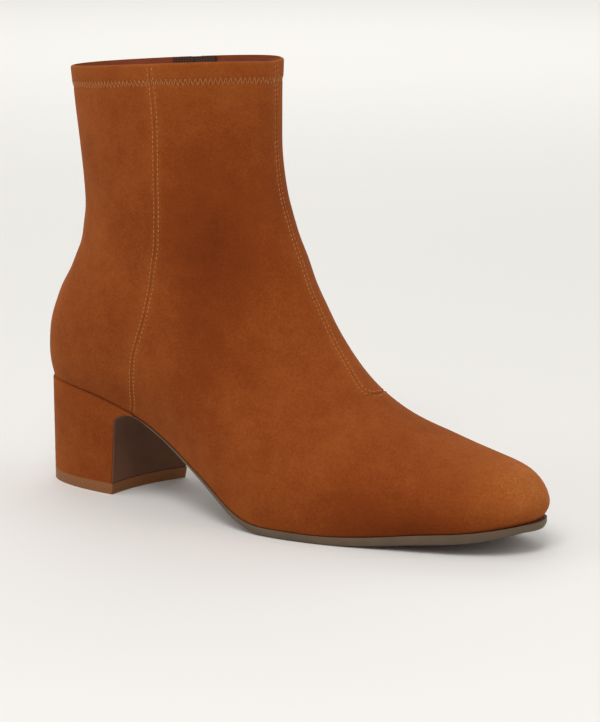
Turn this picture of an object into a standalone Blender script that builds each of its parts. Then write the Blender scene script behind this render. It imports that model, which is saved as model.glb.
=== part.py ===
"""Suede ankle bootie with a block heel, right foot.

Sizes are in millimetres and become metres when a mesh is made.
In the working frame x runs from the heel back to the toe, y to the medial side, z up from the floor.
"""

from collections import namedtuple

import bmesh
import bpy
import numpy as np

MM = 0.001

# Driving sizes of the last, read from the side view
LENGTH = 246.5
BALL_WIDTH = 80.0
HEEL_HEIGHT = 49.0
COLLAR_HEIGHT = 193.0
COLLAR_RISE_LATERAL = 2.4
COLLAR_RISE_MEDIAL = 1.2

# Wall, gaps and edges
WALL = 1.8
SEAT_GAP = 0.3
COLLAR_BAND_DEPTH = 8.0
COLLAR_BAND_STEP = 0.4
COLLAR_ROUND = 0.004
SHAFT_SHARE = 0.72
SOLE_OVERHANG = 0.6
TOE_OVERHANG = 1.5
TOE_START = 0.88
SOLE_CHAMFER = 0.9
INSOLE_THICKNESS = 3.0
INSOLE_INSET = WALL + 0.5

# Front ridge from the toe tip to the collar, reach in foot lengths, height in collar heights, swing in mm
FrontRow = namedtuple("FrontRow", "level reach height swing")
FRONT_LINE = [
    FrontRow(0.00, 0.986, 0.068, 9.0),
    FrontRow(0.03, 0.999, 0.100, 9.0),
    FrontRow(0.07, 0.980, 0.151, 9.0),
    FrontRow(0.13, 0.923, 0.185, 8.6),
    FrontRow(0.22, 0.830, 0.216, 7.6),
    FrontRow(0.33, 0.722, 0.259, 5.8),
    FrontRow(0.44, 0.631, 0.346, 3.6),
    FrontRow(0.56, 0.559, 0.476, 1.8),
    FrontRow(0.67, 0.511, 0.599, 0.5),
    FrontRow(0.76, 0.482, 0.698, 0.0),
    FrontRow(0.84, 0.469, 0.792, 0.0),
    FrontRow(0.92, 0.467, 0.893, 0.0),
    FrontRow(1.00, 0.468, 1.000, 0.0),
]

# Back line from the heel seat to the collar
BackRow = namedtuple("BackRow", "level reach height")
BACK_LINE = [
    BackRow(0.00, -0.003, 0.254),
    BackRow(0.07, -0.009, 0.294),
    BackRow(0.15, -0.009, 0.342),
    BackRow(0.30, 0.010, 0.442),
    BackRow(0.47, 0.060, 0.562),
    BackRow(0.62, 0.079, 0.674),
    BackRow(0.80, 0.069, 0.820),
    BackRow(1.00, 0.053, 0.971),
]

# Feather line, where the upper ends on the sole: reach from heel back to toe tip, height in heel heights
FeatherRow = namedtuple("FeatherRow", "reach height")
FEATHER_LINE = [
    FeatherRow(0.00, 1.000),
    FeatherRow(0.09, 0.972),
    FeatherRow(0.19, 0.858),
    FeatherRow(0.28, 0.692),
    FeatherRow(0.37, 0.495),
    FeatherRow(0.45, 0.318),
    FeatherRow(0.52, 0.132),
    FeatherRow(0.56, 0.085),
    FeatherRow(0.60, 0.079),
    FeatherRow(0.68, 0.078),
    FeatherRow(0.76, 0.103),
    FeatherRow(0.85, 0.160),
    FeatherRow(0.93, 0.206),
    FeatherRow(1.00, 0.268),
]

# Rings round the last, end radii and half-widths in ball widths at five stations on each side
STATIONS = [0.13, 0.28, 0.45, 0.67, 0.87]
RingRow = namedtuple("RingRow", "level back_radius front_radius lateral medial")
RINGS = [
    RingRow(0.00, 0.315, 0.250, (0.312, 0.312, 0.477, 0.527, 0.360), (0.312, 0.285, 0.250, 0.425, 0.315)),
    RingRow(0.04, 0.325, 0.256, (0.350, 0.345, 0.488, 0.542, 0.382), (0.350, 0.325, 0.290, 0.450, 0.335)),
    RingRow(0.10, 0.335, 0.213, (0.381, 0.382, 0.478, 0.531, 0.368), (0.381, 0.375, 0.345, 0.450, 0.322)),
    RingRow(0.20, 0.338, 0.156, (0.388, 0.416, 0.460, 0.499, 0.326), (0.388, 0.414, 0.400, 0.445, 0.280)),
    RingRow(0.33, 0.313, 0.144, (0.375, 0.440, 0.443, 0.437, 0.292), (0.375, 0.438, 0.430, 0.425, 0.260)),
    RingRow(0.47, 0.288, 0.163, (0.338, 0.423, 0.431, 0.400, 0.256), (0.338, 0.423, 0.431, 0.400, 0.256)),
    RingRow(0.62, 0.290, 0.213, (0.310, 0.402, 0.426, 0.392, 0.263), (0.310, 0.402, 0.426, 0.392, 0.263)),
    RingRow(0.80, 0.306, 0.250, (0.304, 0.405, 0.440, 0.410, 0.281), (0.304, 0.405, 0.440, 0.410, 0.281)),
    RingRow(1.00, 0.325, 0.263, (0.310, 0.414, 0.453, 0.428, 0.300), (0.310, 0.414, 0.453, 0.428, 0.300)),
]

# Outsole thickness along the foot, by reach
SoleRow = namedtuple("SoleRow", "reach thickness")
SOLE_THICKNESS = [
    SoleRow(0.24, 0.9),
    SoleRow(0.36, 1.5),
    SoleRow(0.45, 2.3),
    SoleRow(0.52, 2.9),
    SoleRow(0.60, 3.8),
    SoleRow(0.70, 3.8),
    SoleRow(0.82, 4.0),
    SoleRow(0.93, 4.1),
    SoleRow(1.00, 3.1),
]

# Block heel, D-shaped in plan with a hollow breast that is turned a little to the medial side
HEEL_LENGTH = 49.8
HEEL_HALF_WIDTH = 22.2
HEEL_OFFSET = 0.6
HEEL_FULLNESS = 2.4
HEEL_TOP_LEDGE = 0.8
HEEL_FRONT = 45.5
BREAST_LEAN = 0.1
BREAST_SKEW = 2.7
BREAST_HOLLOW = 3.0
BOW_FADE = 40.0
ARCH_BLEND = 0.4
FLAP_THICKNESS = 0.6
FLAP_INSET = 0.3
LIP_END = 0.4
TOP_PIECE_HEIGHT = 5.0

# Lower face of the sole from the breast over into the shank, in mm forward of the heel and above the floor
ArchRow = namedtuple("ArchRow", "forward height")
ARCH_LINE = [
    ArchRow(3.1, 31.0),
    ArchRow(3.5, 33.5),
    ArchRow(4.7, 35.2),
    ArchRow(8.0, 36.8),
    ArchRow(11.3, 37.3),
    ArchRow(14.7, 36.6),
    ArchRow(18.1, 35.2),
]

# Zip on the medial side, places by level and reach, widths across it
ZIP_FOOT_LEVEL = 0.15
ZIP_TOP_LEVEL = 0.985
ZIP_END_GAP = 0.004
ZIP_REACH_FOOT = 0.25
ZIP_REACH_TOP = 0.335
ZIP_SLOT_HALF = 2.6
ZIP_TEETH_HALF = 2.2
ZIP_TEETH_PROUD = 0.4
ZIP_TAPE_HALF = 11.0
ZIP_TAPE_THICKNESS = 0.8
ZIP_TAPE_TAIL = 0.03

# Zip slider and pull tab, measured from the middle of the slider
SLIDER_LEVEL = 0.96
SLIDER_FLOOR = 0.9
SLIDER_THICKNESS = 2.2
ShieldRow = namedtuple("ShieldRow", "half_width up")
SLIDER_SHIELD = [
    ShieldRow(2.1, -5.0),
    ShieldRow(3.0, -1.0),
    ShieldRow(3.8, 2.3),
    ShieldRow(2.9, 5.0),
]
BRIDGE_HALF_WIDTH = 0.8
BRIDGE_HALF_LENGTH = 3.0
BRIDGE_BAR = 1.2
BRIDGE_OPENING = 1.8
PULL_AXIS_HEIGHT = SLIDER_FLOOR + SLIDER_THICKNESS + BRIDGE_OPENING / 2
PULL_THICKNESS = 1.0
PullRow = namedtuple("PullRow", "half_width up")
PULL_TAB = [
    PullRow(2.0, -22.0),
    PullRow(3.2, -20.8),
    PullRow(3.2, -10.0),
    PullRow(2.3, -7.0),
    PullRow(2.3, 0.5),
]
PULL_WINDOW_LENGTH = 5.5
PULL_WINDOW_HALF = 1.2

# How finely the curves are faceted
AROUND_COUNT = 64
OUTER_LEVELS = np.concatenate([np.linspace(0.0, 0.2, 9)[:-1], np.linspace(0.2, 0.95, 16)])
INNER_LEVELS = np.concatenate([np.linspace(1.0, 0.2, 11)[:-1], np.linspace(0.2, 0.0, 7)])
FOOT_STEPS = 26
HEEL_STEPS = 11
ARCH_STEPS = 13
ACROSS = np.linspace(-1, 1, 7)
EDGE_ANGLE = np.radians(35.0)


def spline(knots, values, at):
    """Natural cubic spline through the values at the knots, read at the given places."""
    knots = np.asarray(knots, float)
    values = np.asarray(values, float)
    at = np.asarray(at, float)
    gaps = np.diff(knots)
    system = np.eye(len(knots))
    load = np.zeros_like(values)
    for i in range(1, len(knots) - 1):
        system[i, i - 1:i + 2] = gaps[i - 1], 2 * (gaps[i - 1] + gaps[i]), gaps[i]
        rise_after = (values[i + 1] - values[i]) / gaps[i]
        rise_before = (values[i] - values[i - 1]) / gaps[i - 1]
        load[i] = 6 * (rise_after - rise_before)
    bend = np.linalg.solve(system, load)
    left = np.clip(np.searchsorted(knots, at) - 1, 0, len(knots) - 2)
    gap = gaps[left]
    far = knots[left + 1] - at
    near = at - knots[left]
    bent = bend[left] * (far ** 3 / gap - gap * far) + bend[left + 1] * (near ** 3 / gap - gap * near)
    return bent / 6 + (values[left] * far + values[left + 1] * near) / gap


def read_table(rows, column, at):
    """One named column of a table as a smooth curve over the table's first column."""
    return spline([row[0] for row in rows], [getattr(row, column) for row in rows], at)


def feather_height(reach):
    """Height of the feather line above the floor."""
    return read_table(FEATHER_LINE, "height", reach) * HEEL_HEIGHT


def half_width(rows, side, level, turn):
    """Half-width of the ring at a level, from its end radii and its five stations."""
    reach = (1 - np.cos(turn)) / 2
    front_x, front_z = front_line(level)
    back_x, back_z = back_line(level)
    chord = np.hypot(front_x - back_x, front_z - back_z)
    knots = [0.0] + STATIONS + [1.0]
    levels = [row.level for row in rows]
    fullness = [np.sqrt(read_table(rows, "back_radius", level) * BALL_WIDTH * chord / 2)]
    for k, station in enumerate(STATIONS):
        shares = [getattr(row, side)[k] for row in rows]
        width = spline(levels, shares, level) * BALL_WIDTH
        fullness.append(width / (2 * np.sqrt(station * (1 - station))))
    fullness.append(np.sqrt(read_table(rows, "front_radius", level) * BALL_WIDTH * chord / 2))
    total = np.zeros(np.shape(reach))
    for k in range(len(knots)):
        pulse = np.zeros(len(knots))
        pulse[k] = 1.0
        total = total + spline(knots, pulse, reach) * fullness[k]
    return total * np.sin(turn)


def front_line(level):
    """Front ridge in the side view."""
    return (read_table(FRONT_LINE, "reach", level) * LENGTH,
            read_table(FRONT_LINE, "height", level) * COLLAR_HEIGHT)


def back_line(level):
    """Back of the heel and shaft in the side view."""
    return (read_table(BACK_LINE, "reach", level) * LENGTH,
            read_table(BACK_LINE, "height", level) * COLLAR_HEIGHT)


def last_point(around, level):
    """Outer face of the upper: around goes 0 back, 0.5 front, 1 back, by the lateral side first."""
    around, level = np.broadcast_arrays(np.asarray(around, float) % 1.0, np.asarray(level, float))
    lateral = around <= 0.5
    turn = 2 * np.pi * np.where(lateral, around, 1 - around)
    reach = (1 - np.cos(turn)) / 2
    front_x, front_z = front_line(level)
    back_x, back_z = back_line(level)
    straight = HEEL_HEIGHT * (1 - reach) + feather_height(1.0) * reach
    dip = (feather_height(reach) - straight) * (1 - level) ** 2
    ridge = read_table(FRONT_LINE, "swing", level) * reach ** 2 * (3 - 2 * reach)
    out_lateral = half_width(RINGS, "lateral", level, turn)
    out_medial = half_width(RINGS, "medial", level, turn)
    side_rise = np.where(lateral, COLLAR_RISE_LATERAL, COLLAR_RISE_MEDIAL)
    collar_rise = side_rise * reach * np.sin(turn) * level ** 4
    x = back_x + (front_x - back_x) * reach
    y = ridge + np.where(lateral, -out_lateral, out_medial)
    z = back_z + (front_z - back_z) * reach + dip + collar_rise
    return np.stack([x, y, z], -1)


def unit(vectors):
    """The same vectors at length one."""
    return vectors / np.linalg.norm(vectors, axis=-1, keepdims=True)


def last_normal(around, level):
    """Outward normal of the upper's outer face."""
    step = 0.002
    along = last_point(np.add(around, step), level) - last_point(np.subtract(around, step), level)
    up = last_point(around, np.add(level, step)) - last_point(around, np.subtract(level, step))
    return unit(np.cross(along, up))


def wall_point(around, level, depth):
    """Point at a depth inside the outer face; a negative depth stands proud."""
    depth = np.asarray(depth, float)[..., None]
    return last_point(around, level) - last_normal(around, level) * depth


def around_at(reach, side):
    """Place round a ring for a reach, on the lateral (-1) or medial (1) side."""
    share = np.arccos(1 - 2 * np.asarray(reach, float)) / (2 * np.pi)
    return share if side < 0 else 1 - share


def feather_outline(reach, side, outward):
    """Feather line in plan, moved outward by a distance."""
    around = around_at(reach, side)
    step = 0.002
    along = last_point(around + step, 0.0) - last_point(around - step, 0.0)
    normal = unit(np.stack([along[..., 1], -along[..., 0]], -1))
    return last_point(around, 0.0)[..., :2] + normal * outward


def make_object(name, points, faces, material):
    """Closed mesh in metres from points in millimetres, with coincident points merged."""
    mesh = bpy.data.meshes.new(name)
    form = bmesh.new()
    verts = [form.verts.new(np.asarray(point) * MM) for point in points]
    for face in faces:
        form.faces.new([verts[i] for i in face])
    bmesh.ops.remove_doubles(form, verts=form.verts, dist=0.00001)
    bmesh.ops.dissolve_degenerate(form, edges=form.edges, dist=0.00001)
    bmesh.ops.recalc_face_normals(form, faces=form.faces)
    form.to_mesh(mesh)
    form.free()
    mesh.materials.append(material)
    made = bpy.data.objects.new(name, mesh)
    bpy.context.scene.collection.objects.link(made)
    return made


def shade(piece):
    """Smooth shading that keeps the real edges sharp."""
    piece.data.shade_smooth()
    piece.data.set_sharp_from_angle(angle=EDGE_ANGLE)


def loft(name, loops, material, ring=False):
    """Solid through closed loops of points; a ring joins its ends, else both ends close."""
    loops = np.asarray(loops, float)
    count, corners = loops.shape[:2]
    faces = []
    for i in range(count if ring else count - 1):
        here = i * corners
        there = (i + 1) % count * corners
        for j in range(corners):
            k = (j + 1) % corners
            faces.append((here + j, here + k, there + k, there + j))
    if not ring:
        for end in (0, (count - 1) * corners):
            for j in range(corners // 2 - 1):
                faces.append((end + j, end + j + 1, end + corners - 2 - j, end + corners - 1 - j))
    return make_object(name, loops.reshape(-1, 3), faces, material)


def combine(target, tool, operation):
    """Exact boolean of two solids; the tool is removed."""
    modifier = target.modifiers.new("combine", "BOOLEAN")
    modifier.operation = operation
    modifier.solver = "EXACT"
    modifier.object = tool
    depsgraph = bpy.context.evaluated_depsgraph_get()
    mesh = bpy.data.meshes.new_from_object(target.evaluated_get(depsgraph))
    target.modifiers.clear()
    target.data = mesh
    bpy.data.objects.remove(tool)


def make_material(name, colour, roughness, metallic=0.0):
    """Principled material from a linear colour."""
    material = bpy.data.materials.new(name)
    material.use_nodes = True
    shader = material.node_tree.nodes["Principled BSDF"]
    shader.inputs["Base Color"].default_value = (*colour, 1.0)
    shader.inputs["Roughness"].default_value = roughness
    shader.inputs["Metallic"].default_value = metallic
    return material


def make_upper(material):
    """Hollow shell: each column's loop runs up the outside, over the collar band and down the inside."""
    band_level = 1 - COLLAR_BAND_DEPTH / (SHAFT_SHARE * COLLAR_HEIGHT)
    outer = OUTER_LEVELS[OUTER_LEVELS < band_level - COLLAR_ROUND]
    rim = [
        (band_level, 0.0),
        (band_level + COLLAR_ROUND, -COLLAR_BAND_STEP),
        (1 - COLLAR_ROUND, -COLLAR_BAND_STEP),
        (1.0, 0.0),
        (1.0, WALL - COLLAR_BAND_STEP),
        (1 - COLLAR_ROUND, WALL),
    ]
    section = [(level, 0.0) for level in outer] + rim
    section += [(level, WALL) for level in INNER_LEVELS if level < 0.99]
    levels, depths = np.array(section).T
    around = np.arange(AROUND_COUNT) / AROUND_COUNT
    depths = np.broadcast_to(depths, (AROUND_COUNT, len(levels)))
    loops = wall_point(around[:, None], levels[None, :], depths)
    upper = loft("upper", loops, material, ring=True)
    slot = zip_band("slot", material, ZIP_FOOT_LEVEL, 1.03, ZIP_SLOT_HALF, -4.0, WALL + 4.0, 2)
    combine(upper, slot, "DIFFERENCE")
    return upper


def zip_place(level, across, depth):
    """Point on the zip line at a level, moved sideways and to a depth in the wall."""
    share = (level - ZIP_FOOT_LEVEL) / (1 - ZIP_FOOT_LEVEL)
    around = around_at(ZIP_REACH_FOOT + (ZIP_REACH_TOP - ZIP_REACH_FOOT) * share, 1)
    step = 0.002
    speed = np.linalg.norm(last_point(around + step, level) - last_point(around - step, level)) / (2 * step)
    return wall_point(around + across / speed, level, depth)


def zip_band(name, material, low, high, half, outer, inner, columns):
    """Band that follows the zip line between two levels and two depths."""
    across = np.linspace(-half, half, columns)
    loops = []
    for level in np.linspace(low, high, 15):
        front = [zip_place(level, offset, outer) for offset in across]
        rear = [zip_place(level, offset, inner) for offset in across[::-1]]
        loops.append(front + rear)
    return loft(name, loops, material)


def breast_bow(y):
    """How far the breast stands forward of its mean corner: turned to one side and hollow in the middle."""
    share = (y - HEEL_OFFSET) / HEEL_HALF_WIDTH
    return BREAST_SKEW * share - BREAST_HOLLOW * (1 - share ** 2)


def reach_of(x):
    """Share of the way from the heel back to the toe tip along the feather line."""
    heel = BACK_LINE[0].reach * LENGTH
    toe = FRONT_LINE[0].reach * LENGTH
    return np.clip((x - heel) / (toe - heel), 0, 1)


def seat_row(x, fade, outward):
    """Points across the foot at the feather line's height, less the gap, bowed as the breast is."""
    mix = (ACROSS + 1) / 2
    shift = np.zeros(2)
    for _ in range(3):
        edges = []
        for k, side in enumerate((-1, 1)):
            edges.append(feather_outline(reach_of(x + shift[k]), side, outward))
            shift[k] = fade * breast_bow(edges[k][1])
    y = edges[0][1] * (1 - mix) + edges[1][1] * mix
    along = edges[0][0] * (1 - mix) + edges[1][0] * mix
    along = along + fade * (breast_bow(y) - breast_bow(y[0]) * (1 - mix) - breast_bow(y[-1]) * mix)
    return np.stack([along, y, feather_height(reach_of(along)) - SEAT_GAP], -1)


def bow_fade(x):
    """Share of the breast's bow that is left at a place along the arch and the shank."""
    return np.clip(1 - (x - HEEL_FRONT - ARCH_LINE[0].forward) / BOW_FADE, 0, 1)


def sole_profile():
    """Side view of the flap and the arch: lower face and upward normal, from the lift to the shank."""
    low = TOP_PIECE_HEIGHT + SEAT_GAP
    steps = np.arange(len(ARCH_LINE))
    fine = np.linspace(0, len(ARCH_LINE) - 1, ARCH_STEPS)
    forward = spline(steps, [row.forward for row in ARCH_LINE], fine)
    height = spline(steps, [row.height for row in ARCH_LINE], fine)
    flap = [(HEEL_FRONT + BREAST_LEAN * z, z) for z in np.linspace(low, ARCH_LINE[0].height, 4)[:-1]]
    face = np.array(flap + list(zip(HEEL_FRONT + forward, height)))
    slope = unit(np.gradient(face, axis=0))
    normal = np.stack([-slope[:, 1], slope[:, 0]], -1)
    return face, normal


def arch_row(face, normal, offset, outward):
    """Points across the sheet of the sole at one place of its profile, offset along its normal."""
    x, z = face + normal * offset
    arch = (face[0] - HEEL_FRONT - ARCH_LINE[0].forward) / (ARCH_LINE[-1].forward - ARCH_LINE[0].forward)
    share = np.clip(arch, 0, 1)
    fade = bow_fade(face[0])
    row = seat_row(x, fade, outward)
    rise = np.clip(z / feather_height(0.19), 0, 1)
    heel_y = HEEL_OFFSET + ACROSS * (HEEL_HALF_WIDTH - FLAP_INSET)
    y = row[:, 1] * (share + (1 - share) * rise) + heel_y * (1 - share) * (1 - rise)
    along = x + fade * breast_bow(y)
    seat = feather_height(reach_of(along))
    height = z + (seat - seat[0]) * min(1, share / ARCH_BLEND)
    return np.stack([along, y, height], -1)


def heel_crown(front):
    """Where the leaning breast would meet the heel seat, for its place at the floor."""
    return front + BREAST_LEAN * feather_height(reach_of(front))


def heel_loops(front, low, high):
    """Cross-sections of the heel from the breast to the back; high is None for the heel seat."""
    loops = []
    crown = seat_row(heel_crown(front), 1.0, HEEL_TOP_LEDGE)
    corners = np.arccos(1 - 2 * reach_of(crown[[0, -1], 0]))
    for share in np.linspace(0, 1, HEEL_STEPS):
        turn = share * np.pi / 2
        back = HEEL_LENGTH * np.sin(turn) ** (2 / HEEL_FULLNESS)
        out = HEEL_HALF_WIDTH * max(np.cos(turn), 0.0) ** (2 / HEEL_FULLNESS)
        foot_y = HEEL_OFFSET + ACROSS * out
        foot_x = front + breast_bow(foot_y)
        foot_x = foot_x - (foot_x - HEEL_FRONT + HEEL_LENGTH) * back / HEEL_LENGTH
        edges = []
        for side, corner in zip((-1, 1), corners):
            reach = (1 - np.cos(corner * (1 - share))) / 2
            edges.append(feather_outline(reach, side, HEEL_TOP_LEDGE))
        mix = (ACROSS + 1) / 2
        top_y = edges[0][1] * (1 - mix) + edges[1][1] * mix
        top_x = edges[0][0] * (1 - mix) + edges[1][0] * mix
        bow = breast_bow(top_y) - breast_bow(top_y[0]) * (1 - mix) - breast_bow(top_y[-1]) * mix
        top_x = top_x + bow * (1 - share) ** 2
        seat = feather_height(reach_of(top_x)) - SEAT_GAP
        foot = np.stack([foot_x, foot_y, np.zeros(len(ACROSS))], -1)
        top = np.stack([top_x, top_y, seat], -1)
        rows = []
        for z in (high or seat, low):
            rows.append(foot + (top - foot) * np.broadcast_to(z / seat, len(ACROSS))[:, None])
        loops.append(np.concatenate([rows[0], rows[1][::-1]]))
    return loops


def lip_loops():
    """Wedge of the heel that reaches forward between the upper and the arch of the sole, from its tip."""
    root = heel_crown(HEEL_FRONT - FLAP_THICKNESS - SEAT_GAP)
    unders = []
    for face, normal in zip(*sole_profile()):
        under = arch_row(face, normal, FLAP_THICKNESS + SEAT_GAP, HEEL_TOP_LEDGE)
        seat = feather_height(reach_of(under[:, 0])) - SEAT_GAP
        if face[1] >= ARCH_LINE[0].height and (seat - under[:, 2]).min() > LIP_END:
            unders.append(under)
    tip = unders[-1][len(ACROSS) // 2, 0] + BREAST_HOLLOW * bow_fade(unders[-1][len(ACROSS) // 2, 0])
    loops = []
    for x, under in zip(np.linspace(root, tip, len(unders) + 1)[1:], unders):
        crown = seat_row(x, bow_fade(x), HEEL_TOP_LEDGE)
        loops.append(np.concatenate([crown, under[::-1]]))
    return loops[::-1]


def sole_loop(inner, outer):
    """Closed loop of one sole section, with its outer edges chamfered."""
    depth = np.linalg.norm(outer - inner, axis=-1).min()
    chamfer = min(SOLE_CHAMFER, depth / 2)
    bevel = outer + unit(inner - outer) * chamfer
    face = outer.copy()
    width = np.linalg.norm(outer[-1, :2] - outer[0, :2])
    inset = min(chamfer, width / 4) * unit(outer[-1] - outer[0] + 1e-9)
    face[0] = face[0] + inset
    face[-1] = face[-1] - inset
    return np.concatenate([inner, bevel[-1:], face[::-1], bevel[:1]])


def make_outsole(material):
    """Flap down the breast, arch, shank and forefoot as one bent sheet, section by section."""
    loops = []
    for face, normal in zip(*sole_profile()):
        outer = arch_row(face, normal, 0.0, SOLE_OVERHANG)
        inner = arch_row(face, normal, FLAP_THICKNESS, SOLE_OVERHANG)
        inner[:, 2] = np.minimum(inner[:, 2], feather_height(reach_of(inner[:, 0])) - SEAT_GAP)
        loops.append(sole_loop(inner, outer))
    end_x = HEEL_FRONT + ARCH_LINE[-1].forward
    first_turn = np.arccos(1 - 2 * reach_of(end_x))
    for turn in np.linspace(first_turn, np.pi, FOOT_STEPS)[1:]:
        reach = (1 - np.cos(turn)) / 2
        x = float(feather_outline(reach, -1, 0.0)[0])
        toe = max(0.0, (reach - TOE_START) / (1 - TOE_START))
        inner = seat_row(x, bow_fade(x), SOLE_OVERHANG + TOE_OVERHANG * toe ** 2)
        outer = inner.copy()
        thickness = read_table(SOLE_THICKNESS, "thickness", reach_of(inner[:, 0]))
        outer[:, 2] = np.maximum(0.0, inner[:, 2] - thickness)
        loops.append(sole_loop(inner, outer))
    return loft("outsole", loops, material)


def make_insole(material):
    """Flat-bottomed board inside the wall, from the heel seat to the toe."""
    loops = []
    for turn in np.linspace(0, np.pi, FOOT_STEPS + 8):
        reach = (1 - np.cos(turn)) / 2
        low = feather_height(reach)
        edges = [feather_outline(reach, side, -INSOLE_INSET) for side in (-1, 1)]
        loops.append([
            (*edges[0], low),
            (*edges[1], low),
            (*edges[1], low + INSOLE_THICKNESS),
            (*edges[0], low + INSOLE_THICKNESS),
        ])
    return loft("insole", loops, material)


def slider_frame():
    """Middle of the slider on the outer face, with the directions across, up and out."""
    middle = zip_place(SLIDER_LEVEL, 0.0, 0.0)
    step = 0.01
    up = unit(zip_place(SLIDER_LEVEL + step, 0.0, 0.0) - zip_place(SLIDER_LEVEL - step, 0.0, 0.0))
    across = zip_place(SLIDER_LEVEL, 1.0, 0.0) - zip_place(SLIDER_LEVEL, -1.0, 0.0)
    out = unit(np.cross(across, up))
    return middle, np.cross(up, out), up, out


def slab(name, outline, low, high, material):
    """Plate over an outline of (across, up) places, between two heights above the outer face."""
    middle, across, up, out = slider_frame()
    loops = []
    for height in (low, high):
        loops.append([middle + across * a + up * b + out * height for a, b in outline])
    return loft(name, loops, material)


def mirrored(rows):
    """Closed outline from rows of half-width and height, up one side and down the other."""
    right = [(row[0], row[1]) for row in rows]
    return right + [(-across, up) for across, up in reversed(right)]


def box_outline(half_width, low, high):
    """Four corners of a plain plate."""
    return [(-half_width, low), (half_width, low), (half_width, high), (-half_width, high)]


def make_slider(material):
    """Shield-shaped body with an arched bridge that holds the pull tab."""
    shield = mirrored(SLIDER_SHIELD)
    deck = SLIDER_FLOOR + SLIDER_THICKNESS
    body = slab("zip_slider", shield, SLIDER_FLOOR, deck, material)
    roof = deck + BRIDGE_OPENING
    bridge = slab("bridge", box_outline(BRIDGE_HALF_WIDTH, -BRIDGE_HALF_LENGTH, BRIDGE_HALF_LENGTH),
                  deck - 0.5, roof + BRIDGE_BAR, material)
    eye = BRIDGE_HALF_LENGTH - BRIDGE_BAR
    opening = slab("opening", box_outline(BRIDGE_HALF_WIDTH + 1, -eye, eye), deck, roof, material)
    combine(bridge, opening, "DIFFERENCE")
    combine(body, bridge, "UNION")
    return body


def pull_axis():
    """Middle of the bar that the pull tab turns on."""
    middle, across, up, out = slider_frame()
    return middle + out * PULL_AXIS_HEIGHT


def make_pull(material):
    """Flat tab with a window; the window's top bar turns in the slider's bridge."""
    bar = PULL_THICKNESS / 2
    tab = slab("zip_pull", mirrored(PULL_TAB), PULL_AXIS_HEIGHT - bar, PULL_AXIS_HEIGHT + bar, material)
    window = slab("window", box_outline(PULL_WINDOW_HALF, -bar - PULL_WINDOW_LENGTH, -bar),
                  PULL_AXIS_HEIGHT - 2 * PULL_THICKNESS, PULL_AXIS_HEIGHT + 2 * PULL_THICKNESS, material)
    combine(tab, window, "DIFFERENCE")
    return tab


def build():
    """All the pieces, centred on the floor under the middle of the boot."""
    for old in list(bpy.data.objects):
        bpy.data.objects.remove(old)
    suede = make_material("suede", (0.26, 0.075, 0.018), 0.9)
    sole_leather = make_material("sole_leather", (0.055, 0.026, 0.014), 0.55)
    lift_rubber = make_material("lift_rubber", (0.19, 0.075, 0.022), 0.6)
    board = make_material("insole_board", (0.20, 0.07, 0.03), 0.8)
    tape = make_material("zip_tape", (0.12, 0.05, 0.02), 0.9)
    metal = make_material("zip_metal", (0.45, 0.42, 0.38), 0.35, 1.0)
    breast = HEEL_FRONT - FLAP_THICKNESS - SEAT_GAP
    pieces = [
        make_upper(suede),
        make_outsole(sole_leather),
        loft("heel_block", lip_loops() + heel_loops(breast, TOP_PIECE_HEIGHT + SEAT_GAP, None), suede),
        loft("heel_top_piece", heel_loops(HEEL_FRONT, 0.0, TOP_PIECE_HEIGHT), lift_rubber),
        make_insole(board),
        zip_band("zip_tape", tape, ZIP_FOOT_LEVEL - ZIP_TAPE_TAIL, ZIP_TOP_LEVEL, ZIP_TAPE_HALF,
                 WALL + SEAT_GAP, WALL + SEAT_GAP + ZIP_TAPE_THICKNESS, 5),
        zip_band("zip_teeth", metal, ZIP_FOOT_LEVEL + ZIP_END_GAP, ZIP_TOP_LEVEL, ZIP_TEETH_HALF,
                 -ZIP_TEETH_PROUD, WALL, 3),
        make_slider(metal),
        make_pull(metal),
    ]
    corners = np.array([vert.co for piece in pieces for vert in piece.data.vertices])
    centre = (corners.min(0) + corners.max(0)) / 2
    centre[2] = corners[:, 2].min()
    boot = bpy.data.objects.new("bootie", None)
    bpy.context.scene.collection.objects.link(boot)
    for piece in pieces:
        origin = np.zeros(3)
        if piece.name == "zip_pull":
            origin = pull_axis() * MM - centre
        for vert in piece.data.vertices:
            vert.co = np.array(vert.co) - centre - origin
        piece.location = origin
        piece.parent = boot
        shade(piece)


build()
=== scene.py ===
"""Looks of the suede ankle bootie: right foot, block heel, stitched seams and a zip on the medial side."""

from collections import namedtuple

import bmesh
import bpy
import numpy as np
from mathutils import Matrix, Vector
from mathutils.bvhtree import BVHTree


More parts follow.
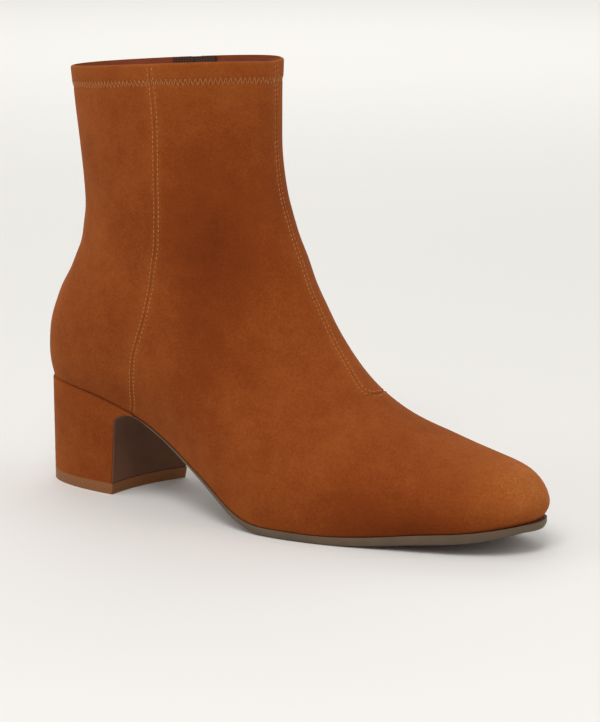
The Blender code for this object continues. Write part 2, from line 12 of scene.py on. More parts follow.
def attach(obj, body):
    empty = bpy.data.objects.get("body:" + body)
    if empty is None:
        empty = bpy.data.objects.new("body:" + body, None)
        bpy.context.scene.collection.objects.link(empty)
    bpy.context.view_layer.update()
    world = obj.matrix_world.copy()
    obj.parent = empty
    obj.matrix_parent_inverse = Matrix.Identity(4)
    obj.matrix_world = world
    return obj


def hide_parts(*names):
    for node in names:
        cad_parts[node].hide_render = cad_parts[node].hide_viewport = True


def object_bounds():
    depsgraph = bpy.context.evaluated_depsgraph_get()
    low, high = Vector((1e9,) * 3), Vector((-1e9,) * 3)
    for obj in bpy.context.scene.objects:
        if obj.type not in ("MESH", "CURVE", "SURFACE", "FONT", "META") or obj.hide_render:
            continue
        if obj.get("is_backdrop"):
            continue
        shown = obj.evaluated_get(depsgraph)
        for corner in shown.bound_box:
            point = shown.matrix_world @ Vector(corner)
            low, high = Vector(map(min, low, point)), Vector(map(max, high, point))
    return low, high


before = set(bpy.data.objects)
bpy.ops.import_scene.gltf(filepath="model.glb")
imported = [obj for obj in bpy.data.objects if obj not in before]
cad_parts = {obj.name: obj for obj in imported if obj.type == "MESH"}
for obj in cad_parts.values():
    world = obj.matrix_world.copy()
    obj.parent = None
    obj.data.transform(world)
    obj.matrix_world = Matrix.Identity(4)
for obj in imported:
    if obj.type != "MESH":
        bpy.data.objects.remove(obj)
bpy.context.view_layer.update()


# Upper
# Tan goat suede, about 1.8 mm with its lining: a back quarter, a lateral panel that runs on into the vamp,
# and a medial quarter. The seams are pressed open, the collar is hemmed and the whole is pulled over a last.
MM = 0.001
LENGTH = 246.5
BALL_WIDTH = 80.0
HEEL_HEIGHT = 49.0
COLLAR_HEIGHT = 193.0
COLLAR_RISE_LATERAL = 2.4
COLLAR_RISE_MEDIAL = 1.2
WALL = 1.8
SUEDE_THICKNESS = 1.1
FRAME_ORIGIN = np.array([120.884, 2.161, 0.0])
SMALL_STEP = 0.002

FrontRow = namedtuple("FrontRow", "level reach height swing")
FRONT_LINE = [
    FrontRow(0.00, 0.986, 0.068, 9.0),
    FrontRow(0.03, 0.999, 0.100, 9.0),
    FrontRow(0.07, 0.980, 0.151, 9.0),
    FrontRow(0.13, 0.923, 0.185, 8.6),
    FrontRow(0.22, 0.830, 0.216, 7.6),
    FrontRow(0.33, 0.722, 0.259, 5.8),
    FrontRow(0.44, 0.631, 0.346, 3.6),
    FrontRow(0.56, 0.559, 0.476, 1.8),
    FrontRow(0.67, 0.511, 0.599, 0.5),
    FrontRow(0.76, 0.482, 0.698, 0.0),
    FrontRow(0.84, 0.469, 0.792, 0.0),
    FrontRow(0.92, 0.467, 0.893, 0.0),
    FrontRow(1.00, 0.468, 1.000, 0.0),
]
BackRow = namedtuple("BackRow", "level reach height")
BACK_LINE = [
    BackRow(0.00, -0.003, 0.254),
    BackRow(0.07, -0.009, 0.294),
    BackRow(0.15, -0.009, 0.342),
    BackRow(0.30, 0.010, 0.442),
    BackRow(0.47, 0.060, 0.562),
    BackRow(0.62, 0.079, 0.674),
    BackRow(0.80, 0.069, 0.820),
    BackRow(1.00, 0.053, 0.971),
]
FeatherRow = namedtuple("FeatherRow", "reach height")
FEATHER_LINE = [
    FeatherRow(0.00, 1.000),
    FeatherRow(0.09, 0.972),
    FeatherRow(0.19, 0.858),
    FeatherRow(0.28, 0.692),
    FeatherRow(0.37, 0.495),
    FeatherRow(0.45, 0.318),
    FeatherRow(0.52, 0.132),
    FeatherRow(0.56, 0.085),
    FeatherRow(0.60, 0.079),
    FeatherRow(0.68, 0.078),
    FeatherRow(0.76, 0.103),
    FeatherRow(0.85, 0.160),
    FeatherRow(0.93, 0.206),
    FeatherRow(1.00, 0.268),
]
STATIONS = [0.13, 0.28, 0.45, 0.67, 0.87]
RingRow = namedtuple("RingRow", "level back_radius front_radius lateral medial")
RINGS = [
    RingRow(0.00, 0.315, 0.250, (0.312, 0.312, 0.477, 0.527, 0.360), (0.312, 0.285, 0.250, 0.425, 0.315)),
    RingRow(0.04, 0.325, 0.256, (0.350, 0.345, 0.488, 0.542, 0.382), (0.350, 0.325, 0.290, 0.450, 0.335)),
    RingRow(0.10, 0.335, 0.213, (0.381, 0.382, 0.478, 0.531, 0.368), (0.381, 0.375, 0.345, 0.450, 0.322)),
    RingRow(0.20, 0.338, 0.156, (0.388, 0.416, 0.460, 0.499, 0.326), (0.388, 0.414, 0.400, 0.445, 0.280)),
    RingRow(0.33, 0.313, 0.144, (0.375, 0.440, 0.443, 0.437, 0.292), (0.375, 0.438, 0.430, 0.425, 0.260)),
    RingRow(0.47, 0.288, 0.163, (0.338, 0.423, 0.431, 0.400, 0.256), (0.338, 0.423, 0.431, 0.400, 0.256)),
    RingRow(0.62, 0.290, 0.213, (0.310, 0.402, 0.426, 0.392, 0.263), (0.310, 0.402, 0.426, 0.392, 0.263)),
    RingRow(0.80, 0.306, 0.250, (0.304, 0.405, 0.440, 0.410, 0.281), (0.304, 0.405, 0.440, 0.410, 0.281)),
    RingRow(1.00, 0.325, 0.263, (0.310, 0.414, 0.453, 0.428, 0.300), (0.310, 0.414, 0.453, 0.428, 0.300)),
]


def spline(knots, values, at):
    """Natural cubic spline through the values at the knots, read at the given places."""
    knots = np.asarray(knots, float)
    values = np.asarray(values, float)
    at = np.asarray(at, float)
    gaps = np.diff(knots)
    system = np.eye(len(knots))
    load = np.zeros_like(values)
    for i in range(1, len(knots) - 1):
        system[i, i - 1:i + 2] = gaps[i - 1], 2 * (gaps[i - 1] + gaps[i]), gaps[i]
        rise_after = (values[i + 1] - values[i]) / gaps[i]
        rise_before = (values[i] - values[i - 1]) / gaps[i - 1]
        load[i] = 6 * (rise_after - rise_before)
    bend = np.linalg.solve(system, load)
    left = np.clip(np.searchsorted(knots, at) - 1, 0, len(knots) - 2)
    gap = gaps[left]
    far = knots[left + 1] - at
    near = at - knots[left]
    bent = bend[left] * (far ** 3 / gap - gap * far) + bend[left + 1] * (near ** 3 / gap - gap * near)
    return bent / 6 + (values[left] * far + values[left + 1] * near) / gap


def read_table(rows, column, at):
    """One named column of a table as a smooth curve over the table's first column."""
    return spline([row[0] for row in rows], [getattr(row, column) for row in rows], at)


def feather_height(reach):
    """Height of the feather line, where the upper meets the sole."""
    return read_table(FEATHER_LINE, "height", reach) * HEEL_HEIGHT


def front_line(level):
    """Front ridge in the side view."""
    return (read_table(FRONT_LINE, "reach", level) * LENGTH,
            read_table(FRONT_LINE, "height", level) * COLLAR_HEIGHT)


def back_line(level):
    """Back of the heel and shaft in the side view."""
    return (read_table(BACK_LINE, "reach", level) * LENGTH,
            read_table(BACK_LINE, "height", level) * COLLAR_HEIGHT)


def half_width(side, level, turn):
    """Half-width of the ring at a level, from its end radii and its five stations."""
    reach = (1 - np.cos(turn)) / 2
    front_x, front_z = front_line(level)
    back_x, back_z = back_line(level)
    chord = np.hypot(front_x - back_x, front_z - back_z)
    knots = [0.0] + STATIONS + [1.0]
    levels = [row.level for row in RINGS]
    fullness = [np.sqrt(read_table(RINGS, "back_radius", level) * BALL_WIDTH * chord / 2)]
    for k, station in enumerate(STATIONS):
        width = spline(levels, [getattr(row, side)[k] for row in RINGS], level) * BALL_WIDTH
        fullness.append(width / (2 * np.sqrt(station * (1 - station))))
    fullness.append(np.sqrt(read_table(RINGS, "front_radius", level) * BALL_WIDTH * chord / 2))
    total = np.zeros(np.shape(reach))
    for k, full in enumerate(fullness):
        share = np.zeros(len(knots))
        share[k] = 1.0
        total = total + spline(knots, share, reach) * full
    return total * np.sin(turn)


def last_point(around, level):
    """Outer face of the upper: around goes 0 back, 0.5 front, 1 back, by the lateral side first."""
    around, level = np.broadcast_arrays(np.asarray(around, float) % 1.0, np.asarray(level, float))
    lateral = around <= 0.5
    turn = 2 * np.pi * np.where(lateral, around, 1 - around)
    reach = (1 - np.cos(turn)) / 2
    front_x, front_z = front_line(level)
    back_x, back_z = back_line(level)
    straight = HEEL_HEIGHT * (1 - reach) + feather_height(1.0) * reach
    dip = (feather_height(reach) - straight) * (1 - level) ** 2
    ridge = read_table(FRONT_LINE, "swing", level) * reach ** 2 * (3 - 2 * reach)
    out = np.where(lateral, -half_width("lateral", level, turn), half_width("medial", level, turn))
    side_rise = np.where(lateral, COLLAR_RISE_LATERAL, COLLAR_RISE_MEDIAL)
    collar_rise = side_rise * reach * np.sin(turn) * level ** 4
    x = back_x + (front_x - back_x) * reach
    z = back_z + (front_z - back_z) * reach + dip + collar_rise
    return np.stack([x, ridge + out, z], -1)


def unit(vectors):
    """The same vectors at length one."""
    return vectors / np.linalg.norm(vectors, axis=-1, keepdims=True)


def last_normal(around, level):
    """Outward normal of the upper's outer face."""
    around = np.asarray(around, float)
    level = np.asarray(level, float)
    along = last_point(around + SMALL_STEP, level) - last_point(around - SMALL_STEP, level)
    up = last_point(around, level + SMALL_STEP) - last_point(around, level - SMALL_STEP)
    return unit(np.cross(along, up))


def around_speed(around, level):
    """Millimetres per turn of around at a place on the upper."""
    span = last_point(around + SMALL_STEP, level) - last_point(around - SMALL_STEP, level)
    return np.linalg.norm(span, axis=-1) / (2 * SMALL_STEP)


def level_speed(around, level):
    """Millimetres per unit of level at a place on the upper."""
    span = last_point(around, level + SMALL_STEP) - last_point(around, level - SMALL_STEP)
    return np.linalg.norm(span, axis=-1) / (2 * SMALL_STEP)


def around_at(reach, side):
    """Place round a ring for a reach, on the lateral (-1) or medial (1) side."""
    share = np.arccos(1 - 2 * np.asarray(reach, float)) / (2 * np.pi)
    return share if side < 0 else 1 - share


SeamRow = namedtuple("SeamRow", "level around")
SIDE_SEAM = [
    SeamRow(0.000, 0.160),
    SeamRow(0.033, 0.164),
    SeamRow(0.170, 0.183),
    SeamRow(0.278, 0.198),
    SeamRow(0.365, 0.211),
    SeamRow(0.465, 0.228),
    SeamRow(0.575, 0.250),
    SeamRow(0.683, 0.274),
    SeamRow(0.790, 0.291),
    SeamRow(0.890, 0.298),
    SeamRow(1.000, 0.294),
]
FRONT_SEAM = [
    SeamRow(1.000, 0.518),
    SeamRow(0.930, 0.523),
    SeamRow(0.880, 0.523),
    SeamRow(0.820, 0.521),
    SeamRow(0.740, 0.518),
    SeamRow(0.660, 0.515),
    SeamRow(0.590, 0.506),
    SeamRow(0.530, 0.500),
    SeamRow(0.465, 0.493),
    SeamRow(0.425, 0.484),
    SeamRow(0.403, 0.478),
    SeamRow(0.392, 0.4785),
    SeamRow(0.386, 0.487),
    SeamRow(0.382, 0.507),
    SeamRow(0.378, 0.538),
    SeamRow(0.368, 0.575),
    SeamRow(0.345, 0.612),
    SeamRow(0.300, 0.646),
    SeamRow(0.230, 0.674),
    SeamRow(0.140, 0.698),
    SeamRow(0.000, 0.718),
]
ZIP_FOOT_LEVEL = 0.15
ZIP_REACH_FOOT = 0.25
ZIP_REACH_TOP = 0.335
ZIP_SLOT_HALF = 2.6
SLOT_END = 0.012
COLLAR_LEVEL = 0.97
HEM_DROP = 8.1
HEM_HALF = 1.7
STITCH_OFFSET = 1.15
BACK_COLUMNS = 40
SIDE_COLUMNS = 80
MEDIAL_COLUMNS = 60
ZIP_BACK_COLUMNS = 30
BESIDE_SEAM = [0.3, 0.6, 0.9, 1.3, 1.7, 2.3, 3.1]
BESIDE_ZIP = [0.0, 0.5, 1.1, 2.0, 3.2]
ReliefRow = namedtuple("ReliefRow", "part height away spread")
SEAM_RELIEF = [
    ReliefRow("groove", -0.38, 0.0, 0.40),
    ReliefRow("welt", 0.18, 0.75, 0.40),
    ReliefRow("stitch row", -0.24, STITCH_OFFSET, 0.30),
]
SEAM_REACH = 5.0
HEM_STEP = 0.35
HEM_STEP_REACH = 0.4
HEM_PULL = 0.22
COLLAR_ROUND = 1.0
LAST_WAVE = 0.10
WAVE_ALONG = (0.19, 0.07, 0.11)
WAVE_ACROSS = (-0.06, 0.17, 0.13)
WAVE_SHIFT = 1.3
ANKLE_HEIGHT = 104.0
ANKLE_REACH = 26.0
ANKLE_FOLD = 0.16
ANKLE_WAVE = (0.10, 0.02, 0.36)


def seam_line(rows, count=900):
    """Evenly read places (around, level) along a seam table."""
    steps = np.arange(len(rows))
    fine = np.linspace(0, len(rows) - 1, count)
    around = spline(steps, [row.around for row in rows], fine)
    level = np.clip(spline(steps, [row.level for row in rows], fine), 0, 1)
    return around, level


def seam_around(rows, level):
    """Place of a seam round the ring at a level."""
    around, levels = seam_line(rows)
    order = np.argsort(levels)
    return np.interp(level, levels[order], around[order])


def zip_around(level):
    """Middle of the zip round the ring at a level."""
    share = (level - ZIP_FOOT_LEVEL) / (1 - ZIP_FOOT_LEVEL)
    return around_at(ZIP_REACH_FOOT + (ZIP_REACH_TOP - ZIP_REACH_FOOT) * share, 1)


def collar_drop(around, level):
    """Distance below the collar edge, along the suede."""
    return (1 - level) * level_speed(around, COLLAR_LEVEL)


def slot_half_at(level):
    """Half-width of the zip slot; its foot is round."""
    return ZIP_SLOT_HALF * np.sqrt(np.clip((level - ZIP_FOOT_LEVEL) / SLOT_END, 0, 1))


def ring_columns(level, slot_half):
    """Places round one ring, close together beside the seams and the zip."""
    beside = np.array(BESIDE_SEAM)
    fine = np.concatenate([-beside[::-1], [0.0], beside])
    edges = np.array(BESIDE_ZIP)
    zip_fine = np.concatenate([-slot_half - edges[::-1], slot_half + edges])
    places = []
    for middle, offsets in ((seam_around(SIDE_SEAM, level), fine),
                            (seam_around(FRONT_SEAM, level), fine),
                            (zip_around(level), zip_fine)):
        places.append(middle + offsets / around_speed(middle, level))
    side, front, zip_edges = places
    return np.concatenate([
        np.linspace(0, side[0], BACK_COLUMNS, endpoint=False),
        side,
        np.linspace(side[-1], front[0], SIDE_COLUMNS + 2)[1:-1],
        front,
        np.linspace(front[-1], zip_edges[0], MEDIAL_COLUMNS + 2)[1:-1],
        zip_edges,
        np.linspace(zip_edges[-1], 1, ZIP_BACK_COLUMNS + 2)[1:-1],
    ])


def near_line(points, line, reach):
    """Distance of each point to a line of points, capped at a reach."""
    distance = np.full(len(points), reach)
    for start in range(0, len(line), 60):
        piece = line[start:start + 60]
        low = piece.min(0) - reach
        high = piece.max(0) + reach
        picked = np.flatnonzero(((points > low) & (points < high)).all(1))
        for block in np.array_split(picked, max(1, len(picked) // 4000)):
            if len(block):
                gap = np.linalg.norm(points[block, None] - piece[None], axis=-1).min(1)
                distance[block] = np.minimum(distance[block], gap)
    return distance


def seam_relief(distance):
    """Height of the suede beside a seam: a groove, two soft welts and the pull of the stitch rows."""
    return sum(row.height * np.exp(-((distance - row.away) / row.spread) ** 2) for row in SEAM_RELIEF)


def shell_faces(rows, columns, kept):
    """Faces of a closed-round shell between two grids of points, with a wall at each free edge."""
    count = rows * columns
    faces = []
    sides = {}
    for i in range(rows - 1):
        for j in range(columns):
            if not kept(i, j):
                continue
            k = (j + 1) % columns
            quad = (i * columns + j, i * columns + k, (i + 1) * columns + k, (i + 1) * columns + j)
            faces.append(quad)
            faces.append(tuple(count + corner for corner in reversed(quad)))
            for a, b in zip(quad, quad[1:] + quad[:1]):
                if (b, a) in sides:
                    del sides[(b, a)]
                else:
                    sides[(a, b)] = True
    for a, b in sides:
        faces.append((b, a, count + a, count + b))
    return faces


def plain_mesh(piece):
    """Bakes an object's modifiers into its mesh and removes them."""
    depsgraph = bpy.context.evaluated_depsgraph_get()
    baked = bpy.data.meshes.new_from_object(piece.evaluated_get(depsgraph))
    piece.modifiers.clear()
    piece.data = baked


MERGE_MM = 0.005
ROUND_STEPS = 3
ROUND_ANGLE = np.radians(40)
SHARP_ANGLE = np.radians(50)


def make_piece(name, points, faces, materials, face_materials=None, round_mm=0.0, body="boot"):
    """Object in metres from points in millimetres on the last; sharp edges are rounded where asked."""
    mesh = bpy.data.meshes.new(name)
    form = bmesh.new()
    verts = [form.verts.new(point) for point in (np.asarray(points) - FRAME_ORIGIN) * MM]
    for k, face in enumerate(faces):
        made = form.faces.new([verts[i] for i in face])
        made.material_index = face_materials[k] if face_materials else 0
    bmesh.ops.remove_doubles(form, verts=form.verts, dist=MERGE_MM * MM)
    bmesh.ops.dissolve_degenerate(form, edges=form.edges, dist=MERGE_MM * MM)
    bmesh.ops.recalc_face_normals(form, faces=form.faces)
    form.to_mesh(mesh)
    form.free()
    for material in materials:
        mesh.materials.append(material)
    piece = bpy.data.objects.new(name, mesh)
    bpy.context.scene.collection.objects.link(piece)
    if round_mm:
        edge = piece.modifiers.new("round", "BEVEL")
        edge.width = round_mm * MM
        edge.segments = ROUND_STEPS
        edge.limit_method = "ANGLE"
        edge.angle_limit = ROUND_ANGLE
        plain_mesh(piece)
    piece.data.shade_smooth()
    piece.data.set_sharp_from_angle(angle=SHARP_ANGLE)
    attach(piece, body)
    return piece


def hex_colour(text):
    """Linear colour from an sRGB hex value."""
    shares = [int(text[i:i + 2], 16) / 255 for i in (0, 2, 4)]
    linear = [s / 12.92 if s <= 0.04045 else ((s + 0.055) / 1.055) ** 2.4 for s in shares]
    return (*linear, 1.0)


def add_node(tree, kind, inputs=None, stops=(), **settings):
    """Adds a node with its settings; an input is a value, a socket, or a node by its first output."""
    node = tree.nodes.new(kind)
    for name, value in settings.items():
        setattr(node, name, value)
    for key, value in (inputs or {}).items():
        if isinstance(value, bpy.types.Node):
            tree.links.new(value.outputs[0], node.inputs[key])
        elif isinstance(value, bpy.types.NodeSocket):
            tree.links.new(value, node.inputs[key])
        else:
            node.inputs[key].default_value = value
    for k, (at, colour) in enumerate(stops):
        element = node.color_ramp.elements[k] if k < 2 else node.color_ramp.elements.new(at)
        element.position = at
        element.color = hex_colour(colour)
    return node


def start_material(name, **shader_inputs):
    """New material with its tree, its Principled shader and its Object coordinates."""
    material = bpy.data.materials.new(name)
    material.use_nodes = True
    tree = material.node_tree
    shader = tree.nodes["Principled BSDF"]
    for key, value in shader_inputs.items():
        shader.inputs[key.replace("_", " ")].default_value = value
    place = add_node(tree, "ShaderNodeTexCoord").outputs["Object"]
    return material, tree, shader, place


def suede():
    """Buffed goat suede: a short nap, cloudy where it was brushed, with a soft bloom at grazing angles."""
    material, tree, shader, place = start_material(
        "tan_goat_suede", Roughness=0.95, Specular_IOR_Level=0.10, Sheen_Weight=0.20, Sheen_Roughness=0.45,
        Sheen_Tint=hex_colour("D8904E"))
    clouds = add_node(tree, "ShaderNodeTexNoise", {
        "Vector": place, "Scale": 1 / (26.0 * MM), "Detail": 4.0, "Roughness": 0.6})
    strokes = add_node(tree, "ShaderNodeTexNoise", {
        "Vector": place, "Scale": 1 / (7.0 * MM), "Detail": 3.0, "Roughness": 0.6})
    # Real fibres are finer than 0.9 mm; they are drawn at that size so that they show.
    fibres = add_node(tree, "ShaderNodeTexNoise", {
        "Vector": place, "Scale": 1 / (0.9 * MM), "Detail": 3.0, "Roughness": 0.7})
    # The nap value is partly the suede's nap and partly painted light: a painted highlight on the toe,
    # painted shade in the shaft's middle, low on the forefoot and on the heel's front.
    nap = add_node(tree, "ShaderNodeAttribute", attribute_name="nap").outputs["Fac"]
    cloudy = add_node(tree, "ShaderNodeMath", {0: clouds, 1: 0.30, 2: -0.15}, operation="MULTIPLY_ADD")
    streaky = add_node(tree, "ShaderNodeMath", {0: strokes, 1: 0.18, 2: cloudy}, operation="MULTIPLY_ADD")
    speckled = add_node(tree, "ShaderNodeMath", {0: fibres, 1: 0.42, 2: streaky}, operation="MULTIPLY_ADD")
    centred = add_node(tree, "ShaderNodeMath", {0: speckled, 1: 0.30}, operation="SUBTRACT")
    tone = add_node(tree, "ShaderNodeMath", {0: centred, 1: nap})
    colour = add_node(tree, "ShaderNodeValToRGB", {"Fac": tone}, stops=[
        (0.0, "5A2206"), (1.0, "BC7C44"), (0.35, "783610"), (0.62, "914C1E")])
    height = add_node(tree, "ShaderNodeMath", {0: strokes, 1: 0.8, 2: fibres}, operation="MULTIPLY_ADD")
    bump = add_node(tree, "ShaderNodeBump", {"Strength": 0.32, "Distance": 0.0006, "Height": height})
    tree.links.new(colour.outputs[0], shader.inputs["Base Color"])
    tree.links.new(bump.outputs[0], shader.inputs["Normal"])
    return material


TAN_SUEDE = suede()
RingRun = namedtuple("RingRun", "low high count")
UPPER_RUNS = [
    RingRun(0.00, 0.04, 7),
    RingRun(0.04, 0.36, 36),
    RingRun(0.36, 0.42, 18),
    RingRun(0.42, 0.94, 58),
    RingRun(0.94, 0.99, 16),
    RingRun(0.99, 1.00, 7),
]
SLOT_END_STEPS = np.array([0.0, 0.15, 0.5, 1.0])
level_runs = [np.linspace(*run) for run in UPPER_RUNS] + [ZIP_FOOT_LEVEL + SLOT_END * SLOT_END_STEPS]
upper_levels = np.unique(np.round(np.concatenate(level_runs), 5))
upper_around = np.array([ring_columns(level, slot_half_at(level)) for level in upper_levels])
upper_level = np.broadcast_to(upper_levels[:, None], upper_around.shape)
upper_skin = last_point(upper_around, upper_level).reshape(-1, 3)
upper_normal = last_normal(upper_around, upper_level).reshape(-1, 3)

seam_path = np.concatenate([last_point(*seam_line(rows)) for rows in (SIDE_SEAM, FRONT_SEAM)])
relief = seam_relief(near_line(upper_skin, seam_path, SEAM_REACH))
drop = collar_drop(upper_around, upper_level).reshape(-1)
from_hem = drop - HEM_DROP
relief += HEM_STEP / (1 + np.exp(np.clip(from_hem, -20, 20) / HEM_STEP_REACH))
relief -= HEM_PULL * np.exp(-(from_hem / HEM_HALF) ** 4)
relief -= COLLAR_ROUND * (1 - np.sqrt(1 - np.clip(1 - drop / COLLAR_ROUND, 0, 1) ** 2))
relief += LAST_WAVE * np.sin(upper_skin @ WAVE_ALONG) * np.sin(upper_skin @ WAVE_ACROSS + WAVE_SHIFT)
ankle = np.exp(-((upper_skin[:, 2] - ANKLE_HEIGHT) / ANKLE_REACH) ** 2)
relief += ANKLE_FOLD * ankle * np.sin(upper_skin @ ANKLE_WAVE)

seam_columns = 2 * len(BESIDE_SEAM) + 1
slot_column = BACK_COLUMNS + SIDE_COLUMNS + MEDIAL_COLUMNS + 2 * seam_columns + len(BESIDE_ZIP) - 1
upper_face = upper_skin + upper_normal * relief[:, None]
upper_back = upper_skin - upper_normal * SUEDE_THICKNESS
upper = make_piece(
    "upper_suede",
    np.concatenate([upper_face, upper_back]),
    shell_faces(len(upper_levels), upper_around.shape[1],
                lambda i, j: j != slot_column or upper_levels[i + 1] <= ZIP_FOOT_LEVEL),
    [TAN_SUEDE],
)


# Spots of the nap value, partly nap and partly painted light: a painted highlight on the toe top; painted
# shade in the shaft's middle, on the low forefoot where the upper turns under to the sole, and on the heel's
# front corner under the arch; the quarter a little darker and the collar a little lighter.
NapAndLightSpot = namedtuple("NapAndLightSpot", "place shade forward forward_spread height height_spread")
NAP_AND_LIGHT_SPOTS = [
    NapAndLightSpot("toe", 0.27, 252.0, 32.0, 36.0, 38.0),
    NapAndLightSpot("shaft", -0.24, 105.0, 20.0, 119.0, 38.0),
    NapAndLightSpot("low forefoot", -0.24, 200.0, 36.0, 10.0, 14.0),
    NapAndLightSpot("quarter", -0.09, 100.0, 20.0, 52.0, 22.0),
    NapAndLightSpot("heel corner", -0.08, 44.0, 20.0, 20.0, 22.0),
    NapAndLightSpot("collar", 0.06, 85.0, 200.0, 193.0, 14.0),
]
NAP_AND_LIGHT_BASE = 0.44
NAP_AND_LIGHT_AT_SEAM = 0.10
NAP_AND_LIGHT_SEAM_REACH = 2.4


def paint_nap_and_light(piece):
    """Nap value per point, partly nap and partly painted light: lighter at the toe, collar and seams;
    painted shade in the shaft's middle, on the low forefoot and at the heel's front; a little darker at the
    quarter.
    """
    places = np.array([vert.co for vert in piece.data.vertices]) / MM + FRAME_ORIGIN
    from_seam = near_line(places, seam_path, 3 * NAP_AND_LIGHT_SEAM_REACH)
    nap = NAP_AND_LIGHT_BASE + NAP_AND_LIGHT_AT_SEAM * np.exp(-(from_seam / NAP_AND_LIGHT_SEAM_REACH) ** 2)
    for spot in NAP_AND_LIGHT_SPOTS:
        forward = (places[:, 0] - spot.forward) / spot.forward_spread
        height = (places[:, 2] - spot.height) / spot.height_spread
        nap = nap + spot.shade * np.exp(-forward ** 2 - height ** 2)
    attribute = piece.data.attributes.new("nap", "FLOAT", "POINT")
    attribute.data.foreach_set("value", nap.astype(np.float32))


paint_nap_and_light(upper)
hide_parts("upper")


# Lining
# Red-brown pigskin, half a millimetre thick, glued inside the suede from the insole up to the hem.
# Its top edge shows as a thin line inside the collar.
def leather(name, dark, light, grain_mm, roughness):
    """Smooth finished leather: fine pores, a little uneven in colour."""
    material, tree, shader, place = start_material(name, Roughness=roughness, Specular_IOR_Level=0.3)
    tone = add_node(tree, "ShaderNodeTexNoise", {"Vector": place, "Scale": 1 / (18.0 * MM), "Detail": 4.0})
    colour = add_node(tree, "ShaderNodeValToRGB", {"Fac": tone}, stops=[(0.3, dark), (0.7, light)])
    pores = add_node(tree, "ShaderNodeTexVoronoi", {"Vector": place, "Scale": 1 / (grain_mm * MM)})
    bump = add_node(tree, "ShaderNodeBump", {"Strength": 0.25, "Distance": 0.0002, "Height": pores})
    tree.links.new(colour.outputs[0], shader.inputs["Base Color"])
    tree.links.new(bump.outputs[0], shader.inputs["Normal"])
    return material


LINING_LEATHER = leather("pigskin_lining", "6E2E18", "8A4126", 0.9, 0.62)
LINING_TOP = 0.994
LINING_SLOT_MARGIN = 0.6
GLUE_LINE = 0.05
lining_levels = np.concatenate([np.linspace(0.0, 0.94, 60), np.linspace(0.95, LINING_TOP, 8)])
lining_rings = [ring_columns(level, slot_half_at(level) + LINING_SLOT_MARGIN) for level in lining_levels]
lining_around = np.array(lining_rings)[:, ::2]
lining_level = np.broadcast_to(lining_levels[:, None], lining_around.shape)
lining_skin = last_point(lining_around, lining_level).reshape(-1, 3)
lining_normal = last_normal(lining_around, lining_level).reshape(-1, 3)
lining_back = lining_skin - lining_normal * (SUEDE_THICKNESS + GLUE_LINE)
lining_face = lining_skin - lining_normal * WALL
lining = make_piece(
    "lining",
    np.concatenate([lining_back, lining_face]),
    shell_faces(len(lining_levels), lining_around.shape[1],
                lambda i, j: j != slot_column // 2 or lining_levels[i + 1] <= ZIP_FOOT_LEVEL),
    [LINING_LEATHER],
)


# Seam stitching
# Tan polyester thread: two lockstitch rows beside each closed seam, which hold its pressed-open edges flat.
# A zigzag row holds the hem under the collar edge.
STITCH_PITCH = 2.0
STITCH_LENGTH = 1.35
STITCH_FOOT_LEVEL = 0.01
STITCH_TOP_LEVEL = 0.996
THREAD = 0.50
THREAD_LIFT = 0.02
ZIGZAG_STEP = 1.05
HEM_THREAD = 0.40
SETTLE_REACH = 4.0
ZIP_CLEAR = 4.0
Repeated = namedtuple("Repeated", "places along normals")


def repeat_tree():
    """Geometry Nodes tree that sets one shape on every point, turned to the point's line and surface."""
    tree = bpy.data.node_groups.new("repeat_shape", "GeometryNodeTree")
    tree.is_modifier = True
    tree.interface.new_socket("Geometry", in_out="OUTPUT", socket_type="NodeSocketGeometry")
    for name, kind in (("Geometry", "NodeSocketGeometry"), ("Shape", "NodeSocketObject"),
                       ("Size", "NodeSocketVector"), ("Material", "NodeSocketMaterial")):
        tree.interface.new_socket(name, in_out="INPUT", socket_type=kind)
    given = add_node(tree, "NodeGroupInput")
    along = add_node(tree, "GeometryNodeInputNamedAttribute", {"Name": "along"}, data_type="FLOAT_VECTOR")
    normal = add_node(tree, "GeometryNodeInputNamedAttribute", {"Name": "normals"}, data_type="FLOAT_VECTOR")
    turn = add_node(tree, "FunctionNodeAxesToRotation", {"Primary Axis": normal, "Secondary Axis": along},
                    primary_axis="Z", secondary_axis="X")
    shape = add_node(tree, "GeometryNodeObjectInfo", {"Object": given.outputs["Shape"]})
    placed = add_node(tree, "GeometryNodeInstanceOnPoints", {
        "Points": given, "Instance": shape.outputs["Geometry"],
        "Rotation": turn, "Scale": given.outputs["Size"]})
    real = add_node(tree, "GeometryNodeRealizeInstances", {"Geometry": placed})
    finished = add_node(tree, "GeometryNodeSetMaterial", {
        "Geometry": real, "Material": given.outputs["Material"]})
    add_node(tree, "NodeGroupOutput", {"Geometry": finished})
    return tree


REPEAT = repeat_tree()


def shape_object(name, form):
    """Small template object from a bmesh, smooth shaded."""
    mesh = bpy.data.meshes.new(name)
    form.to_mesh(mesh)
    form.free()
    mesh.shade_smooth()
    shape = bpy.data.objects.new(name, mesh)
    bpy.context.scene.collection.objects.link(shape)
    return shape


